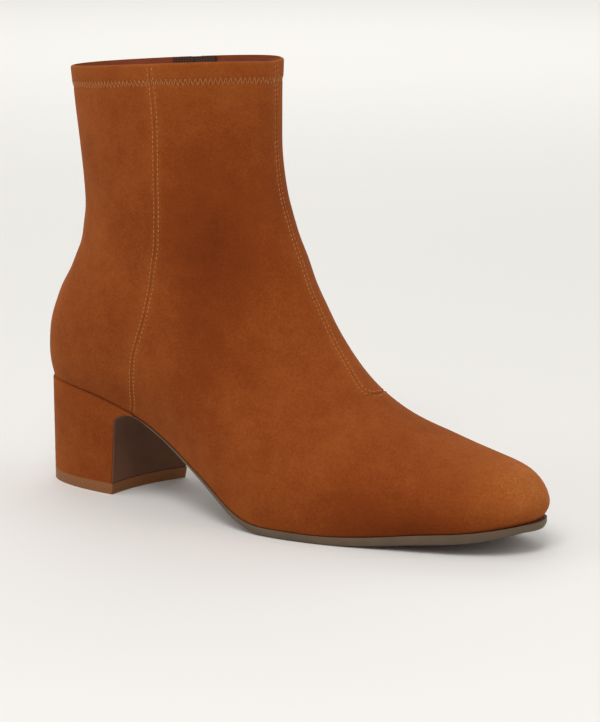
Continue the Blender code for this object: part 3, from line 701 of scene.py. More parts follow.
def repeat_shape(name, shape, rows, size, material):
    """Piece made of one shape on all the places of some rows; the template is removed."""
    places = np.concatenate([row.places for row in rows])
    mesh = bpy.data.meshes.new(name)
    mesh.from_pydata([Vector(point) for point in (places - FRAME_ORIGIN) * MM], [], [])
    for label in ("along", "normals"):
        vectors = np.concatenate([getattr(row, label) for row in rows])
        attribute = mesh.attributes.new(label, "FLOAT_VECTOR", "POINT")
        attribute.data.foreach_set("vector", vectors.astype(np.float32).ravel())
    piece = bpy.data.objects.new(name, mesh)
    bpy.context.scene.collection.objects.link(piece)
    modifier = piece.modifiers.new("repeat", "NODES")
    modifier.node_group = REPEAT
    values = {"Shape": shape, "Size": size, "Material": material}
    for socket in REPEAT.interface.items_tree:
        if socket.name in values:
            modifier[socket.identifier] = values[socket.name]
    plain_mesh(piece)
    bpy.data.objects.remove(shape)
    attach(piece, "boot")
    return piece


def stitch_shape():
    """One stitch: a stretched ball of thread, one unit long and one thick."""
    form = bmesh.new()
    bmesh.ops.create_uvsphere(form, u_segments=8, v_segments=5, radius=0.5)
    lengthwise = Vector((0, 0, 1)).rotation_difference(Vector((1, 0, 0)))
    bmesh.ops.rotate(form, verts=form.verts, matrix=lengthwise.to_matrix())
    return shape_object("stitch", form)


def row_along(line, normals, pitch, start):
    """Places at an even pitch along a line, with the line's direction and the surface normal at each."""
    run = np.concatenate([[0.0], np.cumsum(np.linalg.norm(np.diff(line, axis=0), axis=-1))])
    at = np.arange(start, run[-1], pitch)
    columns = [line, np.gradient(line, run, axis=0), normals]
    places, along, out = (np.stack([np.interp(at, run, c[:, k]) for k in range(3)], -1) for c in columns)
    return Repeated(places, unit(along), unit(out))


upper_surface = BVHTree.FromObject(upper, bpy.context.evaluated_depsgraph_get())


def settle(row):
    """The same row moved onto the suede's face, with the face's own normals."""
    kept = []
    for place, along, out in zip(*row):
        start = Vector((place + out * SETTLE_REACH - FRAME_ORIGIN) * MM)
        hit, normal, _, _ = upper_surface.ray_cast(start, Vector(-out), 2 * SETTLE_REACH * MM)
        if hit is not None:
            normal = np.array(normal)
            kept.append((np.array(hit) / MM + FRAME_ORIGIN + normal * THREAD_LIFT, along, normal))
    return Repeated(*(np.array(column) for column in zip(*kept)))


def seam_row(rows, offset):
    """Stitch row beside a seam, from the sole to the collar edge."""
    around, level = seam_line(rows)
    inside = (level > STITCH_FOOT_LEVEL) & (level < STITCH_TOP_LEVEL)
    line = last_point(around[inside], level[inside])
    normal = last_normal(around[inside], level[inside])
    beside = line + np.cross(normal, unit(np.gradient(line, axis=0))) * offset
    return settle(row_along(beside, normal, STITCH_PITCH, STITCH_PITCH / 2))


# A wave texture of scale one repeats every tenth of pi.
WAVE_REPEAT = np.pi / 10


def thread(name, dark, light):
    """Twisted polyester thread: a soft shine and fine slanting plies."""
    material, tree, shader, place = start_material(name, Roughness=0.7, Specular_IOR_Level=0.25)
    plies = add_node(tree, "ShaderNodeTexWave", {
        "Vector": place, "Scale": WAVE_REPEAT / (0.5 * MM), "Distortion": 2.0})
    colour = add_node(tree, "ShaderNodeValToRGB", {"Fac": plies}, stops=[(0.0, dark), (1.0, light)])
    tree.links.new(colour.outputs[0], shader.inputs["Base Color"])
    return material


SEAM_THREAD = thread("tan_polyester_thread", "8A5026", "B37A48")
stitch_size = np.array([STITCH_LENGTH, THREAD, THREAD]) * MM
seam_rows = [seam_row(rows, side * STITCH_OFFSET) for rows in (SIDE_SEAM, FRONT_SEAM) for side in (-1, 1)]
seam_stitches = repeat_shape("seam_stitches", stitch_shape(), seam_rows, stitch_size, SEAM_THREAD)

hem_zip = zip_around(COLLAR_LEVEL)
hem_gap = (ZIP_SLOT_HALF + ZIP_CLEAR) / around_speed(hem_zip, COLLAR_LEVEL)
hem_around = np.linspace(hem_zip + hem_gap, hem_zip + 1 - hem_gap, 900)
hem_level = 1 - HEM_DROP / level_speed(hem_around, COLLAR_LEVEL)
hem = row_along(last_point(hem_around, hem_level), last_normal(hem_around, hem_level), ZIGZAG_STEP, 0.0)
hem_side = np.where(np.arange(len(hem.places)) % 2, HEM_HALF, -HEM_HALF)
zigzag = hem.places + np.cross(hem.normals, hem.along) * hem_side[:, None]
legs = np.diff(zigzag, axis=0)
hem_row = settle(Repeated((zigzag[1:] + zigzag[:-1]) / 2, unit(legs), hem.normals[1:]))
leg_size = np.array([np.linalg.norm(legs, axis=-1).mean(), HEM_THREAD, HEM_THREAD]) * MM
hem_stitches = repeat_shape("hem_stitches", stitch_shape(), [hem_row], leg_size, SEAM_THREAD)


# Zip tape
# Brown woven polyester, two strips side by side behind the slot, sewn to the wall on each side of it.
ZIP_TAPE_TOP = 0.9995
ZIP_TAPE_HALF = 11.0
ZIP_TAPE_THICKNESS = 0.8
ZIP_TAPE_TAIL = 0.03
TAPE_DEPTH = WALL + 0.1
TAPE_MIDDLE_GAP = 0.2
TAPE_ROWS = 50
TAPE_COLUMNS = 6


def zip_place(level, across, depth):
    """Point on the zip line at a level, moved sideways and to a depth in the wall."""
    around = zip_around(level)
    beside = around + across / around_speed(around, level)
    return last_point(beside, level) - last_normal(beside, level) * np.asarray(depth, float)[..., None]


def loft_faces(count, corners, start=0, ends=2):
    """Faces of a solid through closed loops; its first end or both are closed by strips."""
    faces = []
    for i in range(count - 1):
        for j in range(corners):
            k = (j + 1) % corners
            faces.append((i * corners + j, i * corners + k, (i + 1) * corners + k, (i + 1) * corners + j))
    for end in (0, (count - 1) * corners)[:ends]:
        for j in range(corners // 2 - 1):
            faces.append((end + j, end + j + 1, end + corners - 2 - j, end + corners - 1 - j))
    return [tuple(start + corner for corner in face) for face in faces]


def woven_tape():
    """Zip tape: close cross ribs and a fine lengthwise warp."""
    material, tree, shader, place = start_material("brown_woven_zip_tape", Roughness=0.85)
    ribs = add_node(tree, "ShaderNodeTexWave", {
        "Vector": place, "Scale": WAVE_REPEAT / (1.0 * MM)}, bands_direction="Z")
    warp = add_node(tree, "ShaderNodeTexWave", {
        "Vector": place, "Scale": WAVE_REPEAT / (1.25 * MM)}, bands_direction="X")
    weave = add_node(tree, "ShaderNodeMath", {0: ribs, 1: warp}, operation="MULTIPLY")
    colour = add_node(tree, "ShaderNodeValToRGB", {"Fac": weave}, stops=[(0.0, "3A1D10"), (1.0, "63381F")])
    bump = add_node(tree, "ShaderNodeBump", {"Strength": 0.6, "Distance": 0.0003, "Height": weave})
    tree.links.new(colour.outputs[0], shader.inputs["Base Color"])
    tree.links.new(bump.outputs[0], shader.inputs["Normal"])
    return material


tape_loops = []
tape_faces = []
for inner, outer in ((-ZIP_TAPE_HALF, -TAPE_MIDDLE_GAP), (TAPE_MIDDLE_GAP, ZIP_TAPE_HALF)):
    tape_across = np.linspace(inner, outer, TAPE_COLUMNS)
    tape_faces += loft_faces(TAPE_ROWS, 2 * TAPE_COLUMNS, 2 * TAPE_COLUMNS * len(tape_loops))
    for level in np.linspace(ZIP_FOOT_LEVEL - ZIP_TAPE_TAIL, ZIP_TAPE_TOP, TAPE_ROWS):
        face = zip_place(level, tape_across, TAPE_DEPTH)
        back = zip_place(level, tape_across[::-1], TAPE_DEPTH + ZIP_TAPE_THICKNESS)
        tape_loops.append(np.concatenate([face, back]))
zip_tape = make_piece("zip_tape_weave", np.concatenate(tape_loops), tape_faces, [woven_tape()])
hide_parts("zip_tape")


# Zip teeth
# Stamped metal teeth clamped on the tape edges, left and right in turn, from the slot's foot to the collar.
# A row of stitches on each side of the slot sews the tape to the wall.
TEETH_FOOT_LEVEL = ZIP_FOOT_LEVEL + 0.01
TEETH_TOP_LEVEL = 0.985
TOOTH_PITCH = 2.2
TOOTH_SIDE = 0.75
TOOTH_DEPTH = 0.7
PLACKET_OFFSET = ZIP_SLOT_HALF + 2.2
PLACKET_FOOT_LEVEL = ZIP_FOOT_LEVEL - 0.008
PLACKET_TOP_LEVEL = 0.955
ToothRow = namedtuple("ToothRow", "out half_length half_height")
TOOTH = [
    ToothRow(-1.35, 0.42, 0.85),
    ToothRow(-0.10, 0.42, 0.95),
    ToothRow(0.40, 0.30, 0.70),
    ToothRow(0.85, 0.52, 0.80),
    ToothRow(1.15, 0.30, 0.50),
]


def tooth_shape():
    """One tooth: a clamped foot, a waist and a rounded head that points to the middle."""
    form = bmesh.new()
    loops = []
    for row in TOOTH:
        corners = [(1, 1), (-1, 1), (-1, -1), (1, -1)]
        points = [(a * row.half_length, row.out, b * row.half_height) for a, b in corners]
        loops.append([form.verts.new(point) for point in points])
    for below, above in zip(loops, loops[1:]):
        for j in range(4):
            form.faces.new((below[j], below[j - 1], above[j - 1], above[j]))
    form.faces.new(loops[0])
    form.faces.new(loops[-1][::-1])
    bmesh.ops.recalc_face_normals(form, faces=form.faces)
    return shape_object("tooth", form)


def zip_metal():
    """Antique nickel: a brushed, slightly uneven grey metal."""
    material, tree, shader, place = start_material("antique_nickel", Metallic=1.0)
    tone = add_node(tree, "ShaderNodeTexNoise", {"Vector": place, "Scale": 1 / (0.8 * MM), "Detail": 3.0})
    colour = add_node(tree, "ShaderNodeValToRGB", {"Fac": tone}, stops=[(0.3, "99928A"), (0.7, "AEA79D")])
    rough = add_node(tree, "ShaderNodeMapRange", {"Value": tone, "To Min": 0.30, "To Max": 0.42})
    tree.links.new(colour.outputs[0], shader.inputs["Base Color"])
    tree.links.new(rough.outputs[0], shader.inputs["Roughness"])
    return material


def zip_row(low, high, across, depth, pitch, start):
    """Even places along the zip, to one side of its middle."""
    levels = np.linspace(low, high, 400)
    return row_along(zip_place(levels, across, depth), last_normal(zip_around(levels), levels), pitch, start)


NICKEL = zip_metal()
tooth_rows = []
for side, start in ((-1, 0.0), (1, TOOTH_PITCH / 2)):
    row = zip_row(TEETH_FOOT_LEVEL, TEETH_TOP_LEVEL, side * TOOTH_SIDE, TOOTH_DEPTH, TOOTH_PITCH, start)
    tooth_rows.append(row._replace(along=row.along * -side))
zip_teeth = repeat_shape("zip_teeth_metal", tooth_shape(), tooth_rows, np.full(3, MM), NICKEL)
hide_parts("zip_teeth")

placket_rows = []
for side in (-1, 1):
    placket = zip_row(PLACKET_FOOT_LEVEL, PLACKET_TOP_LEVEL, side * PLACKET_OFFSET, 0.0, STITCH_PITCH, 0.0)
    placket_rows.append(settle(placket))
placket_stitches = repeat_shape("placket_stitches", stitch_shape(), placket_rows, stitch_size, SEAM_THREAD)


# Zip slider
# Die-cast nickel-plated body that runs on the teeth and stands just under the hem, where the zip is closed.
# Its arched bridge holds the pull tab.
SLIDER_LEVEL = 0.96
SLIDER_FLOOR = 0.9
SLIDER_THICKNESS = 2.2
BRIDGE_HALF_WIDTH = 0.8
BRIDGE_HALF_LENGTH = 3.0
BRIDGE_BAR = 1.2
BRIDGE_OPENING = 1.8
BRIDGE_SINK = 0.2
PULL_AXIS_HEIGHT = SLIDER_FLOOR + SLIDER_THICKNESS + BRIDGE_OPENING / 2
OutlineRow = namedtuple("OutlineRow", "half_width up")
SLIDER_SHIELD = [
    OutlineRow(2.1, -5.0),
    OutlineRow(2.6, -3.2),
    OutlineRow(3.0, -1.0),
    OutlineRow(3.6, 1.2),
    OutlineRow(3.8, 2.3),
    OutlineRow(3.6, 3.9),
    OutlineRow(2.9, 5.0),
]


def slider_frame():
    """Middle of the slider on the outer face, with the directions across, up and out."""
    step = 0.01
    places = zip_place(SLIDER_LEVEL + step * np.array([-1, 0, 1]), 0.0, 0.0)
    sides = zip_place(SLIDER_LEVEL, np.array([-1.0, 1.0]), 0.0)
    up = unit(places[2] - places[0])
    out = unit(np.cross(sides[1] - sides[0], up))
    return places[1], np.cross(up, out), up, out


slider_middle, slider_across, slider_up, slider_out = slider_frame()


def on_slider(across, up, out):
    """Point measured from the middle of the slider."""
    return slider_middle + slider_across * across + slider_up * up + slider_out * out


def mirrored(rows):
    """Closed outline from rows of half-width and height, up one side and down the other."""
    right = [(row.half_width, row.up) for row in rows]
    return right + [(-across, up) for across, up in reversed(right)]


slider_outline = mirrored(SLIDER_SHIELD)
slider_deck = SLIDER_FLOOR + SLIDER_THICKNESS
slider_loops = []
for height in (SLIDER_FLOOR, slider_deck):
    slider_loops.append([on_slider(a, b, height) for a, b in slider_outline])
bridge_turns = np.linspace(0, np.pi, 13)
bridge_outer = [(-BRIDGE_HALF_LENGTH * np.cos(t), (BRIDGE_OPENING + BRIDGE_BAR) * np.sin(t) ** 0.5)
                for t in bridge_turns]
bridge_inner = [(-(BRIDGE_HALF_LENGTH - BRIDGE_BAR) * np.cos(t), BRIDGE_OPENING * np.sin(t) ** 0.5)
                for t in bridge_turns]
bridge_loops = []
for (outer_up, outer_out), (inner_up, inner_out) in zip(bridge_outer, bridge_inner):
    bridge_loops.append([
        on_slider(-BRIDGE_HALF_WIDTH, outer_up, slider_deck - BRIDGE_SINK + outer_out),
        on_slider(BRIDGE_HALF_WIDTH, outer_up, slider_deck - BRIDGE_SINK + outer_out),
        on_slider(BRIDGE_HALF_WIDTH, inner_up, slider_deck - BRIDGE_SINK + inner_out),
        on_slider(-BRIDGE_HALF_WIDTH, inner_up, slider_deck - BRIDGE_SINK + inner_out),
    ])
slider_points = np.concatenate([np.concatenate(slider_loops), np.concatenate(bridge_loops)])
slider_faces = loft_faces(2, len(slider_outline))
slider_faces += loft_faces(len(bridge_loops), 4, 2 * len(slider_outline))
slider = make_piece("slider_body", slider_points, slider_faces, [NICKEL], round_mm=0.3)
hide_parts("zip_slider")


# Pull tab
# Flat stamped tab of the same nickel. It hangs from the slider's bridge by the bar above its window and
# turns up on it.
PULL_THICKNESS = 1.0
PULL_WINDOW_LENGTH = 5.5
PULL_WINDOW_HALF = 1.2
PULL_TAB = [
    OutlineRow(1.6, -22.0),
    OutlineRow(2.6, -21.7),
    OutlineRow(3.2, -20.8),
    OutlineRow(3.2, -10.0),
    OutlineRow(2.9, -8.6),
    OutlineRow(2.3, -7.0),
    OutlineRow(2.3, 0.5),
]
pull_bar = PULL_THICKNESS / 2
pull_outer = mirrored(PULL_TAB)
window_low = -pull_bar - PULL_WINDOW_LENGTH
pull_points = []
pull_faces = []
for height in (-pull_bar, pull_bar):
    pull_points += [on_slider(a, b, PULL_AXIS_HEIGHT + height) for a, b in pull_outer]
    pull_points += [on_slider(a, b, PULL_AXIS_HEIGHT + height) for a, b in (
        (PULL_WINDOW_HALF, window_low), (PULL_WINDOW_HALF, -pull_bar),
        (-PULL_WINDOW_HALF, -pull_bar), (-PULL_WINDOW_HALF, window_low))]
outer_count = len(pull_outer)
layer = outer_count + 4
right = list(range(len(PULL_TAB)))
left = [outer_count - 1 - i for i in right]
window = [outer_count + i for i in range(4)]
face_plan = [(right[i], right[i + 1], left[i + 1], left[i]) for i in range(len(PULL_TAB) - 2)]
face_plan += [
    (right[-2], right[-1], window[1], window[0]),
    (right[-1], left[-1], window[2], window[1]),
    (left[-1], left[-2], window[3], window[2]),
    (left[-2], right[-2], window[0], window[3]),
]
pull_faces += [tuple(reversed(face)) for face in face_plan]
pull_faces += [tuple(layer + i for i in face) for face in face_plan]
for ring in (list(range(outer_count)), window):
    for i, j in zip(ring, ring[1:] + ring[:1]):
        pull_faces.append((i, j, layer + j, layer + i))
pull = make_piece("pull_tab_metal", pull_points, pull_faces, [NICKEL], round_mm=0.25, body="pull_tab")
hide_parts("zip_pull")


# Insole sock
# Thin red-brown leather over a padded board, cut to the inside of the upper and glued down.
INSOLE_THICKNESS = 3.0
INSOLE_INSET = WALL + 0.5
SOCK_EDGE = 1.0
SOCK_END = 0.02
SOCK_ROWS = 70


def feather_outline(reach, side, outward):
    """Feather line in plan, moved outward by a distance."""
    around = around_at(reach, side)
    along = last_point(around + SMALL_STEP, 0.0) - last_point(around - SMALL_STEP, 0.0)
    normal = unit(np.stack([along[..., 1], -along[..., 0]], -1))
    return last_point(around, 0.0)[..., :2] + normal * outward


sock_loops = []
sock_across = np.linspace(-1, 1, 11)
for turn in np.linspace(SOCK_END, np.pi - SOCK_END, SOCK_ROWS):
    reach = (1 - np.cos(turn)) / 2
    low = feather_height(reach)
    lateral_edge, medial_edge = (feather_outline(reach, side, -INSOLE_INSET) for side in (-1, 1))
    mix = (sock_across[:, None] + 1) / 2
    plan = lateral_edge * (1 - mix) + medial_edge * mix
    crown = low + INSOLE_THICKNESS - SOCK_EDGE * sock_across ** 6
    top = np.concatenate([plan, crown[:, None]], -1)
    base = np.concatenate([plan, np.full((len(mix), 1), low)], -1)
    sock_loops.append(np.concatenate([top, base[::-1]]))
SOCK_LEATHER = leather("red_brown_sock_leather", "63301C", "7C4227", 1.1, 0.55)
sock = make_piece("insole_sock", np.concatenate(sock_loops), loft_faces(len(sock_loops), 22), [SOCK_LEATHER])
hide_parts("insole")


# Outsole
# One sheet of dark brown sole leather, thin under the arch and thicker at the forefoot, where its edge is
# painted taupe. It is glued on under the upper and runs on as a flap down the front of the heel.
SEAT_GAP = 0.3
SOLE_OVERHANG = 0.6
TOE_OVERHANG = 1.5
TOE_START = 0.88
SOLE_CHAMFER = 0.9
HEEL_HALF_WIDTH = 22.2
HEEL_OFFSET = 0.6
HEEL_FRONT = 45.5
BREAST_LEAN = 0.1
BREAST_SKEW = 2.7
BREAST_HOLLOW = 3.0
BOW_FADE = 40.0
ARCH_BLEND = 0.4
FLAP_THICKNESS = 0.6
FLAP_INSET = 0.3
TOP_PIECE_HEIGHT = 5.0
ARCH_STEPS = 37
FLAP_STEPS = 9
SOLE_STEPS = 110
ACROSS = np.linspace(-1, 1, 15)
SoleRow = namedtuple("SoleRow", "reach thickness")
SOLE_THICKNESS = [
    SoleRow(0.24, 0.9),
    SoleRow(0.36, 1.5),
    SoleRow(0.45, 2.3),
    SoleRow(0.52, 2.9),
    SoleRow(0.60, 3.8),
    SoleRow(0.70, 3.8),
    SoleRow(0.82, 4.0),
    SoleRow(0.93, 4.1),
    SoleRow(1.00, 3.1),
]
ArchRow = namedtuple("ArchRow", "forward height")
ARCH_LINE = [
    ArchRow(3.1, 31.0),
    ArchRow(3.5, 33.5),
    ArchRow(4.7, 35.2),
    ArchRow(8.0, 36.8),
    ArchRow(11.3, 37.3),
    ArchRow(14.7, 36.6),
    ArchRow(18.1, 35.2),
]


def breast_bow(y):
    """How far the breast stands forward of its mean corner: turned to one side and hollow in the middle."""
    share = (y - HEEL_OFFSET) / HEEL_HALF_WIDTH
    return BREAST_SKEW * share - BREAST_HOLLOW * (1 - share ** 2)


def reach_of(x):
    """Share of the way from the heel back to the toe tip along the feather line."""
    heel = BACK_LINE[0].reach * LENGTH
    toe = FRONT_LINE[0].reach * LENGTH
    return np.clip((x - heel) / (toe - heel), 0, 1)


def between(lateral_value, medial_value):
    """Values across the foot, from the one at its lateral edge to the one at its medial edge."""
    mix = (ACROSS + 1) / 2
    return lateral_value * (1 - mix) + medial_value * mix


def seat_row(x, fade, outward):
    """Points across the foot at the feather line's height, less the gap, bowed as the breast is."""
    shift = np.zeros(2)
    for _ in range(3):
        edges = []
        for k, side in enumerate((-1, 1)):
            edges.append(feather_outline(reach_of(x + shift[k]), side, outward))
            shift[k] = fade * breast_bow(edges[k][1])
    y = between(edges[0][1], edges[1][1])
    bow = breast_bow(y) - between(breast_bow(y[0]), breast_bow(y[-1]))
    along = between(edges[0][0], edges[1][0]) + fade * bow
    return np.stack([along, y, feather_height(reach_of(along)) - SEAT_GAP], -1)


def bow_fade(x):
    """Share of the breast's bow that is left at a place along the arch and the shank."""
    return np.clip(1 - (x - HEEL_FRONT - ARCH_LINE[0].forward) / BOW_FADE, 0, 1)


def sole_profile():
    """Side view of the flap and the arch: lower face and upward normal, from the lift to the shank."""
    low = TOP_PIECE_HEIGHT + SEAT_GAP
    steps = np.arange(len(ARCH_LINE))
    fine = np.linspace(0, len(ARCH_LINE) - 1, ARCH_STEPS)
    forward = spline(steps, [row.forward for row in ARCH_LINE], fine)
    height = spline(steps, [row.height for row in ARCH_LINE], fine)
    rise = np.linspace(low, ARCH_LINE[0].height, FLAP_STEPS)[:-1]
    flap = [(HEEL_FRONT + BREAST_LEAN * z, z) for z in rise]
    face = np.array(flap + list(zip(HEEL_FRONT + forward, height)))
    slope = unit(np.gradient(face, axis=0))
    normal = np.stack([-slope[:, 1], slope[:, 0]], -1)
    return face, normal


def heel_crown(front):
    """Where the leaning breast would meet the heel seat, for its place at the floor."""
    return front + BREAST_LEAN * feather_height(reach_of(front))


def arch_row(face, normal, offset, outward, inset):
    """Points across the sheet of the sole at one place of its profile, offset along its normal."""
    x, z = face + normal * offset
    arch = (face[0] - HEEL_FRONT - ARCH_LINE[0].forward) / (ARCH_LINE[-1].forward - ARCH_LINE[0].forward)
    share = np.clip(arch, 0, 1)
    fade = bow_fade(face[0])
    row = seat_row(x, fade, outward)
    crown = seat_row(heel_crown(HEEL_FRONT), 1.0, outward)
    rise = np.clip(z / crown[:, 2], 0, 1)
    breast_y = (HEEL_OFFSET + ACROSS * (HEEL_HALF_WIDTH - inset)) * (1 - rise) + crown[:, 1] * rise
    y = row[:, 1] * share + breast_y * (1 - share)
    along = x + fade * breast_bow(y)
    seat = feather_height(reach_of(along))
    height = z + (seat - seat[0]) * min(1, share / ARCH_BLEND)
    return np.stack([along, y, height], -1)


def sole_loop(inner, outer):
    """Closed loop of one sole section, with its outer edges chamfered."""
    depth = np.linalg.norm(outer - inner, axis=-1).min()
    chamfer = min(SOLE_CHAMFER, depth / 2)
    bevel = outer + unit(inner - outer) * chamfer
    face = outer.copy()
    width = np.linalg.norm(outer[-1, :2] - outer[0, :2])
    inset = min(chamfer, width / 4) * unit(outer[-1] - outer[0] + 1e-9)
    face[0] = face[0] + inset
    face[-1] = face[-1] - inset
    return np.concatenate([inner, bevel[-1:], face[::-1], bevel[:1]])


sole_loops = []
for face, normal in zip(*sole_profile()):
    outer = arch_row(face, normal, 0.0, SOLE_OVERHANG, FLAP_INSET)
    inner = arch_row(face, normal, FLAP_THICKNESS, SOLE_OVERHANG, FLAP_INSET)
    inner[:, 2] = np.minimum(inner[:, 2], feather_height(reach_of(inner[:, 0])) - SEAT_GAP)
    sole_loops.append(sole_loop(inner, outer))
shank_turn = np.arccos(1 - 2 * reach_of(HEEL_FRONT + ARCH_LINE[-1].forward))
for turn in np.linspace(shank_turn, np.pi, SOLE_STEPS)[1:]:
    reach = (1 - np.cos(turn)) / 2
    x = float(feather_outline(reach, -1, 0.0)[0])
    toe = max(0.0, (reach - TOE_START) / (1 - TOE_START))
    inner = seat_row(x, bow_fade(x), SOLE_OVERHANG + TOE_OVERHANG * toe ** 2)
    outer = inner.copy()
    thickness = read_table(SOLE_THICKNESS, "thickness", reach_of(inner[:, 0]))
    outer[:, 2] = np.maximum(0.0, inner[:, 2] - thickness)
    sole_loops.append(sole_loop(inner, outer))
sole_corners = len(sole_loops[0])
edge_places = {len(ACROSS) - 1, len(ACROSS), sole_corners - 2, sole_corners - 1}
sole_faces = loft_faces(len(sole_loops), sole_corners)
wall_faces = (len(sole_loops) - 1) * sole_corners
flap_faces = len(sole_profile()[0]) * sole_corners
sole_face_materials = []
for k in range(len(sole_faces)):
    painted = flap_faces < k < wall_faces and k % sole_corners in edge_places
    sole_face_materials.append(int(painted))
SOLE_LEATHER = leather("dark_brown_sole_leather", "5C3822", "6B442D", 0.7, 0.6)
EDGE_PAINT = leather("taupe_edge_paint", "544536", "665544", 0.5, 0.55)
outsole = make_piece("outsole_leather", np.concatenate(sole_loops), sole_faces, [SOLE_LEATHER, EDGE_PAINT],
                     sole_face_materials)
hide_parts("outsole")


# Heel cover
# The same suede wrapped round a moulded block and turned in under the seat, with a lip that runs forward
# between the upper and the arch of the sole.
HEEL_LENGTH = 49.8
HEEL_FULLNESS = 2.4
HEEL_TOP_LEDGE = 0.8
HEEL_MIDDLE = 24.0
HEEL_ROLL = 0.8
ROLL_MIDDLE = 0.29
HEEL_STEPS = 49
LIP_END = 0.1
COVER_GAP = 0.05


def heel_stations(front):
    """Rows across the heel from the breast to the back: each at the floor and at the heel seat."""
    stations = []
    crown = seat_row(heel_crown(front), 1.0, HEEL_TOP_LEDGE)
    corners = np.arccos(1 - 2 * reach_of(crown[[0, -1], 0]))
    for share in np.linspace(0, 1, HEEL_STEPS):
        turn = share * np.pi / 2
        back = HEEL_LENGTH * np.sin(turn) ** (2 / HEEL_FULLNESS)
        out = HEEL_HALF_WIDTH * max(np.cos(turn), 0.0) ** (2 / HEEL_FULLNESS)
        foot_y = HEEL_OFFSET + ACROSS * out
        foot_x = front + breast_bow(foot_y)
        foot_x = foot_x - (foot_x - HEEL_FRONT + HEEL_LENGTH) * back / HEEL_LENGTH
        edges = []
        for side, corner in zip((-1, 1), corners):
            reach = (1 - np.cos(corner * (1 - share))) / 2
            edges.append(feather_outline(reach, side, HEEL_TOP_LEDGE))
        top_y = between(edges[0][1], edges[1][1])
        bow = breast_bow(top_y) - between(breast_bow(top_y[0]), breast_bow(top_y[-1]))
        top_x = between(edges[0][0], edges[1][0]) + bow * (1 - share) ** 2
        foot = np.stack([foot_x, foot_y, np.zeros(len(ACROSS))], -1)
        top = np.stack([top_x, top_y, feather_height(reach_of(top_x)) - SEAT_GAP], -1)
        stations.append((foot, top))
    return stations


def heel_cut(foot, top, height):
    """Row of a heel station at a height."""
    return foot + (top - foot) * (height / top[:, 2:])


def rolled_loop(crown, waist, under):
    """Closed loop of one heel section, with its waist marked on both sides and its upper edges rolled."""
    edges = []
    for end in (0, -1):
        inward = np.array([max(HEEL_MIDDLE - crown[end, 0], 0.0), HEEL_OFFSET - crown[end, 1], 0.0])
        drop = under[end] - crown[end]
        radius = min(HEEL_ROLL, np.linalg.norm(drop) / 3)
        inward = unit(inward + 1e-9) * radius
        drop = unit(drop) * radius
        edges.append([crown[end] + drop, crown[end] + (drop + inward) * ROLL_MIDDLE, crown[end] + inward])
    left, right = edges
    return np.concatenate([left, crown[1:-1], right[::-1], waist[-1:], under[::-1], waist[:1]])


def lip_loops():
    """Wedge of the heel that reaches forward between the upper and the arch of the sole, from its tip."""
    root = heel_crown(HEEL_FRONT - FLAP_THICKNESS - COVER_GAP)
    middle = len(ACROSS) // 2
    unders = []
    for face, normal in zip(*sole_profile()):
        under = arch_row(face, normal, FLAP_THICKNESS + COVER_GAP, HEEL_TOP_LEDGE, 0.0)
        seat = feather_height(reach_of(under[:, 0])) - SEAT_GAP
        if face[1] >= ARCH_LINE[0].height and (seat - under[:, 2]).min() > LIP_END:
            unders.append(under)
    tip = unders[-1][middle, 0] + BREAST_HOLLOW * bow_fade(unders[-1][middle, 0])
    loops = []
    for x, under in list(zip(np.linspace(root, tip, len(unders)), unders))[1:]:
        loops.append(rolled_loop(seat_row(x, bow_fade(x), HEEL_TOP_LEDGE), under, under))
    return loops[::-1]


cover_loops = lip_loops()
cover_stations = heel_stations(HEEL_FRONT - FLAP_THICKNESS - COVER_GAP)
breast_foot, breast_top = cover_stations[0]
breast_waist = heel_cut(breast_foot, breast_top, ARCH_LINE[0].height)
cover_loops.append(rolled_loop(breast_top, breast_waist, breast_waist))
for foot, top in cover_stations:
    waist = heel_cut(foot, top, ARCH_LINE[0].height)
    cover_loops.append(rolled_loop(top, waist, heel_cut(foot, top, TOP_PIECE_HEIGHT + COVER_GAP)))
heel_cover = make_piece("heel_cover_suede", np.concatenate(cover_loops),
                        loft_faces(len(cover_loops), len(cover_loops[0]), ends=1), [TAN_SUEDE])
# The heel cover takes the same nap value, with painted shade at its front corner under the arch.
paint_nap_and_light(heel_cover)
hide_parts("heel_block")


# Heel lift
# Moulded brown rubber, five millimetres thick, nailed under the heel block.
# It is cut to the heel's own outline and takes the wear on the floor.
def rubber(name, dark, light):
    """Moulded rubber: matt, with a fine dusty grain."""
    material, tree, shader, place = start_material(name, Roughness=0.6)
    tone = add_node(tree, "ShaderNodeTexNoise", {"Vector": place, "Scale": 1 / (0.6 * MM), "Detail": 3.0})
    colour = add_node(tree, "ShaderNodeValToRGB", {"Fac": tone}, stops=[(0.3, dark), (0.7, light)])
    bump = add_node(tree, "ShaderNodeBump", {"Strength": 0.2, "Distance": 0.0002, "Height": tone})
    tree.links.new(colour.outputs[0], shader.inputs["Base Color"])
    tree.links.new(bump.outputs[0], shader.inputs["Normal"])
    return material


lift_loops = []
for foot, top in heel_stations(HEEL_FRONT):
    lift_loops.append(np.concatenate([heel_cut(foot, top, TOP_PIECE_HEIGHT), foot[::-1]]))
lift_faces = loft_faces(len(lift_loops), 2 * len(ACROSS))
LIFT_RUBBER = rubber("brown_lift_rubber", "704112", "8A5019")
lift = make_piece("heel_lift_rubber", np.concatenate(lift_loops), lift_faces, [LIFT_RUBBER], round_mm=0.35)
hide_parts("heel_top_piece")


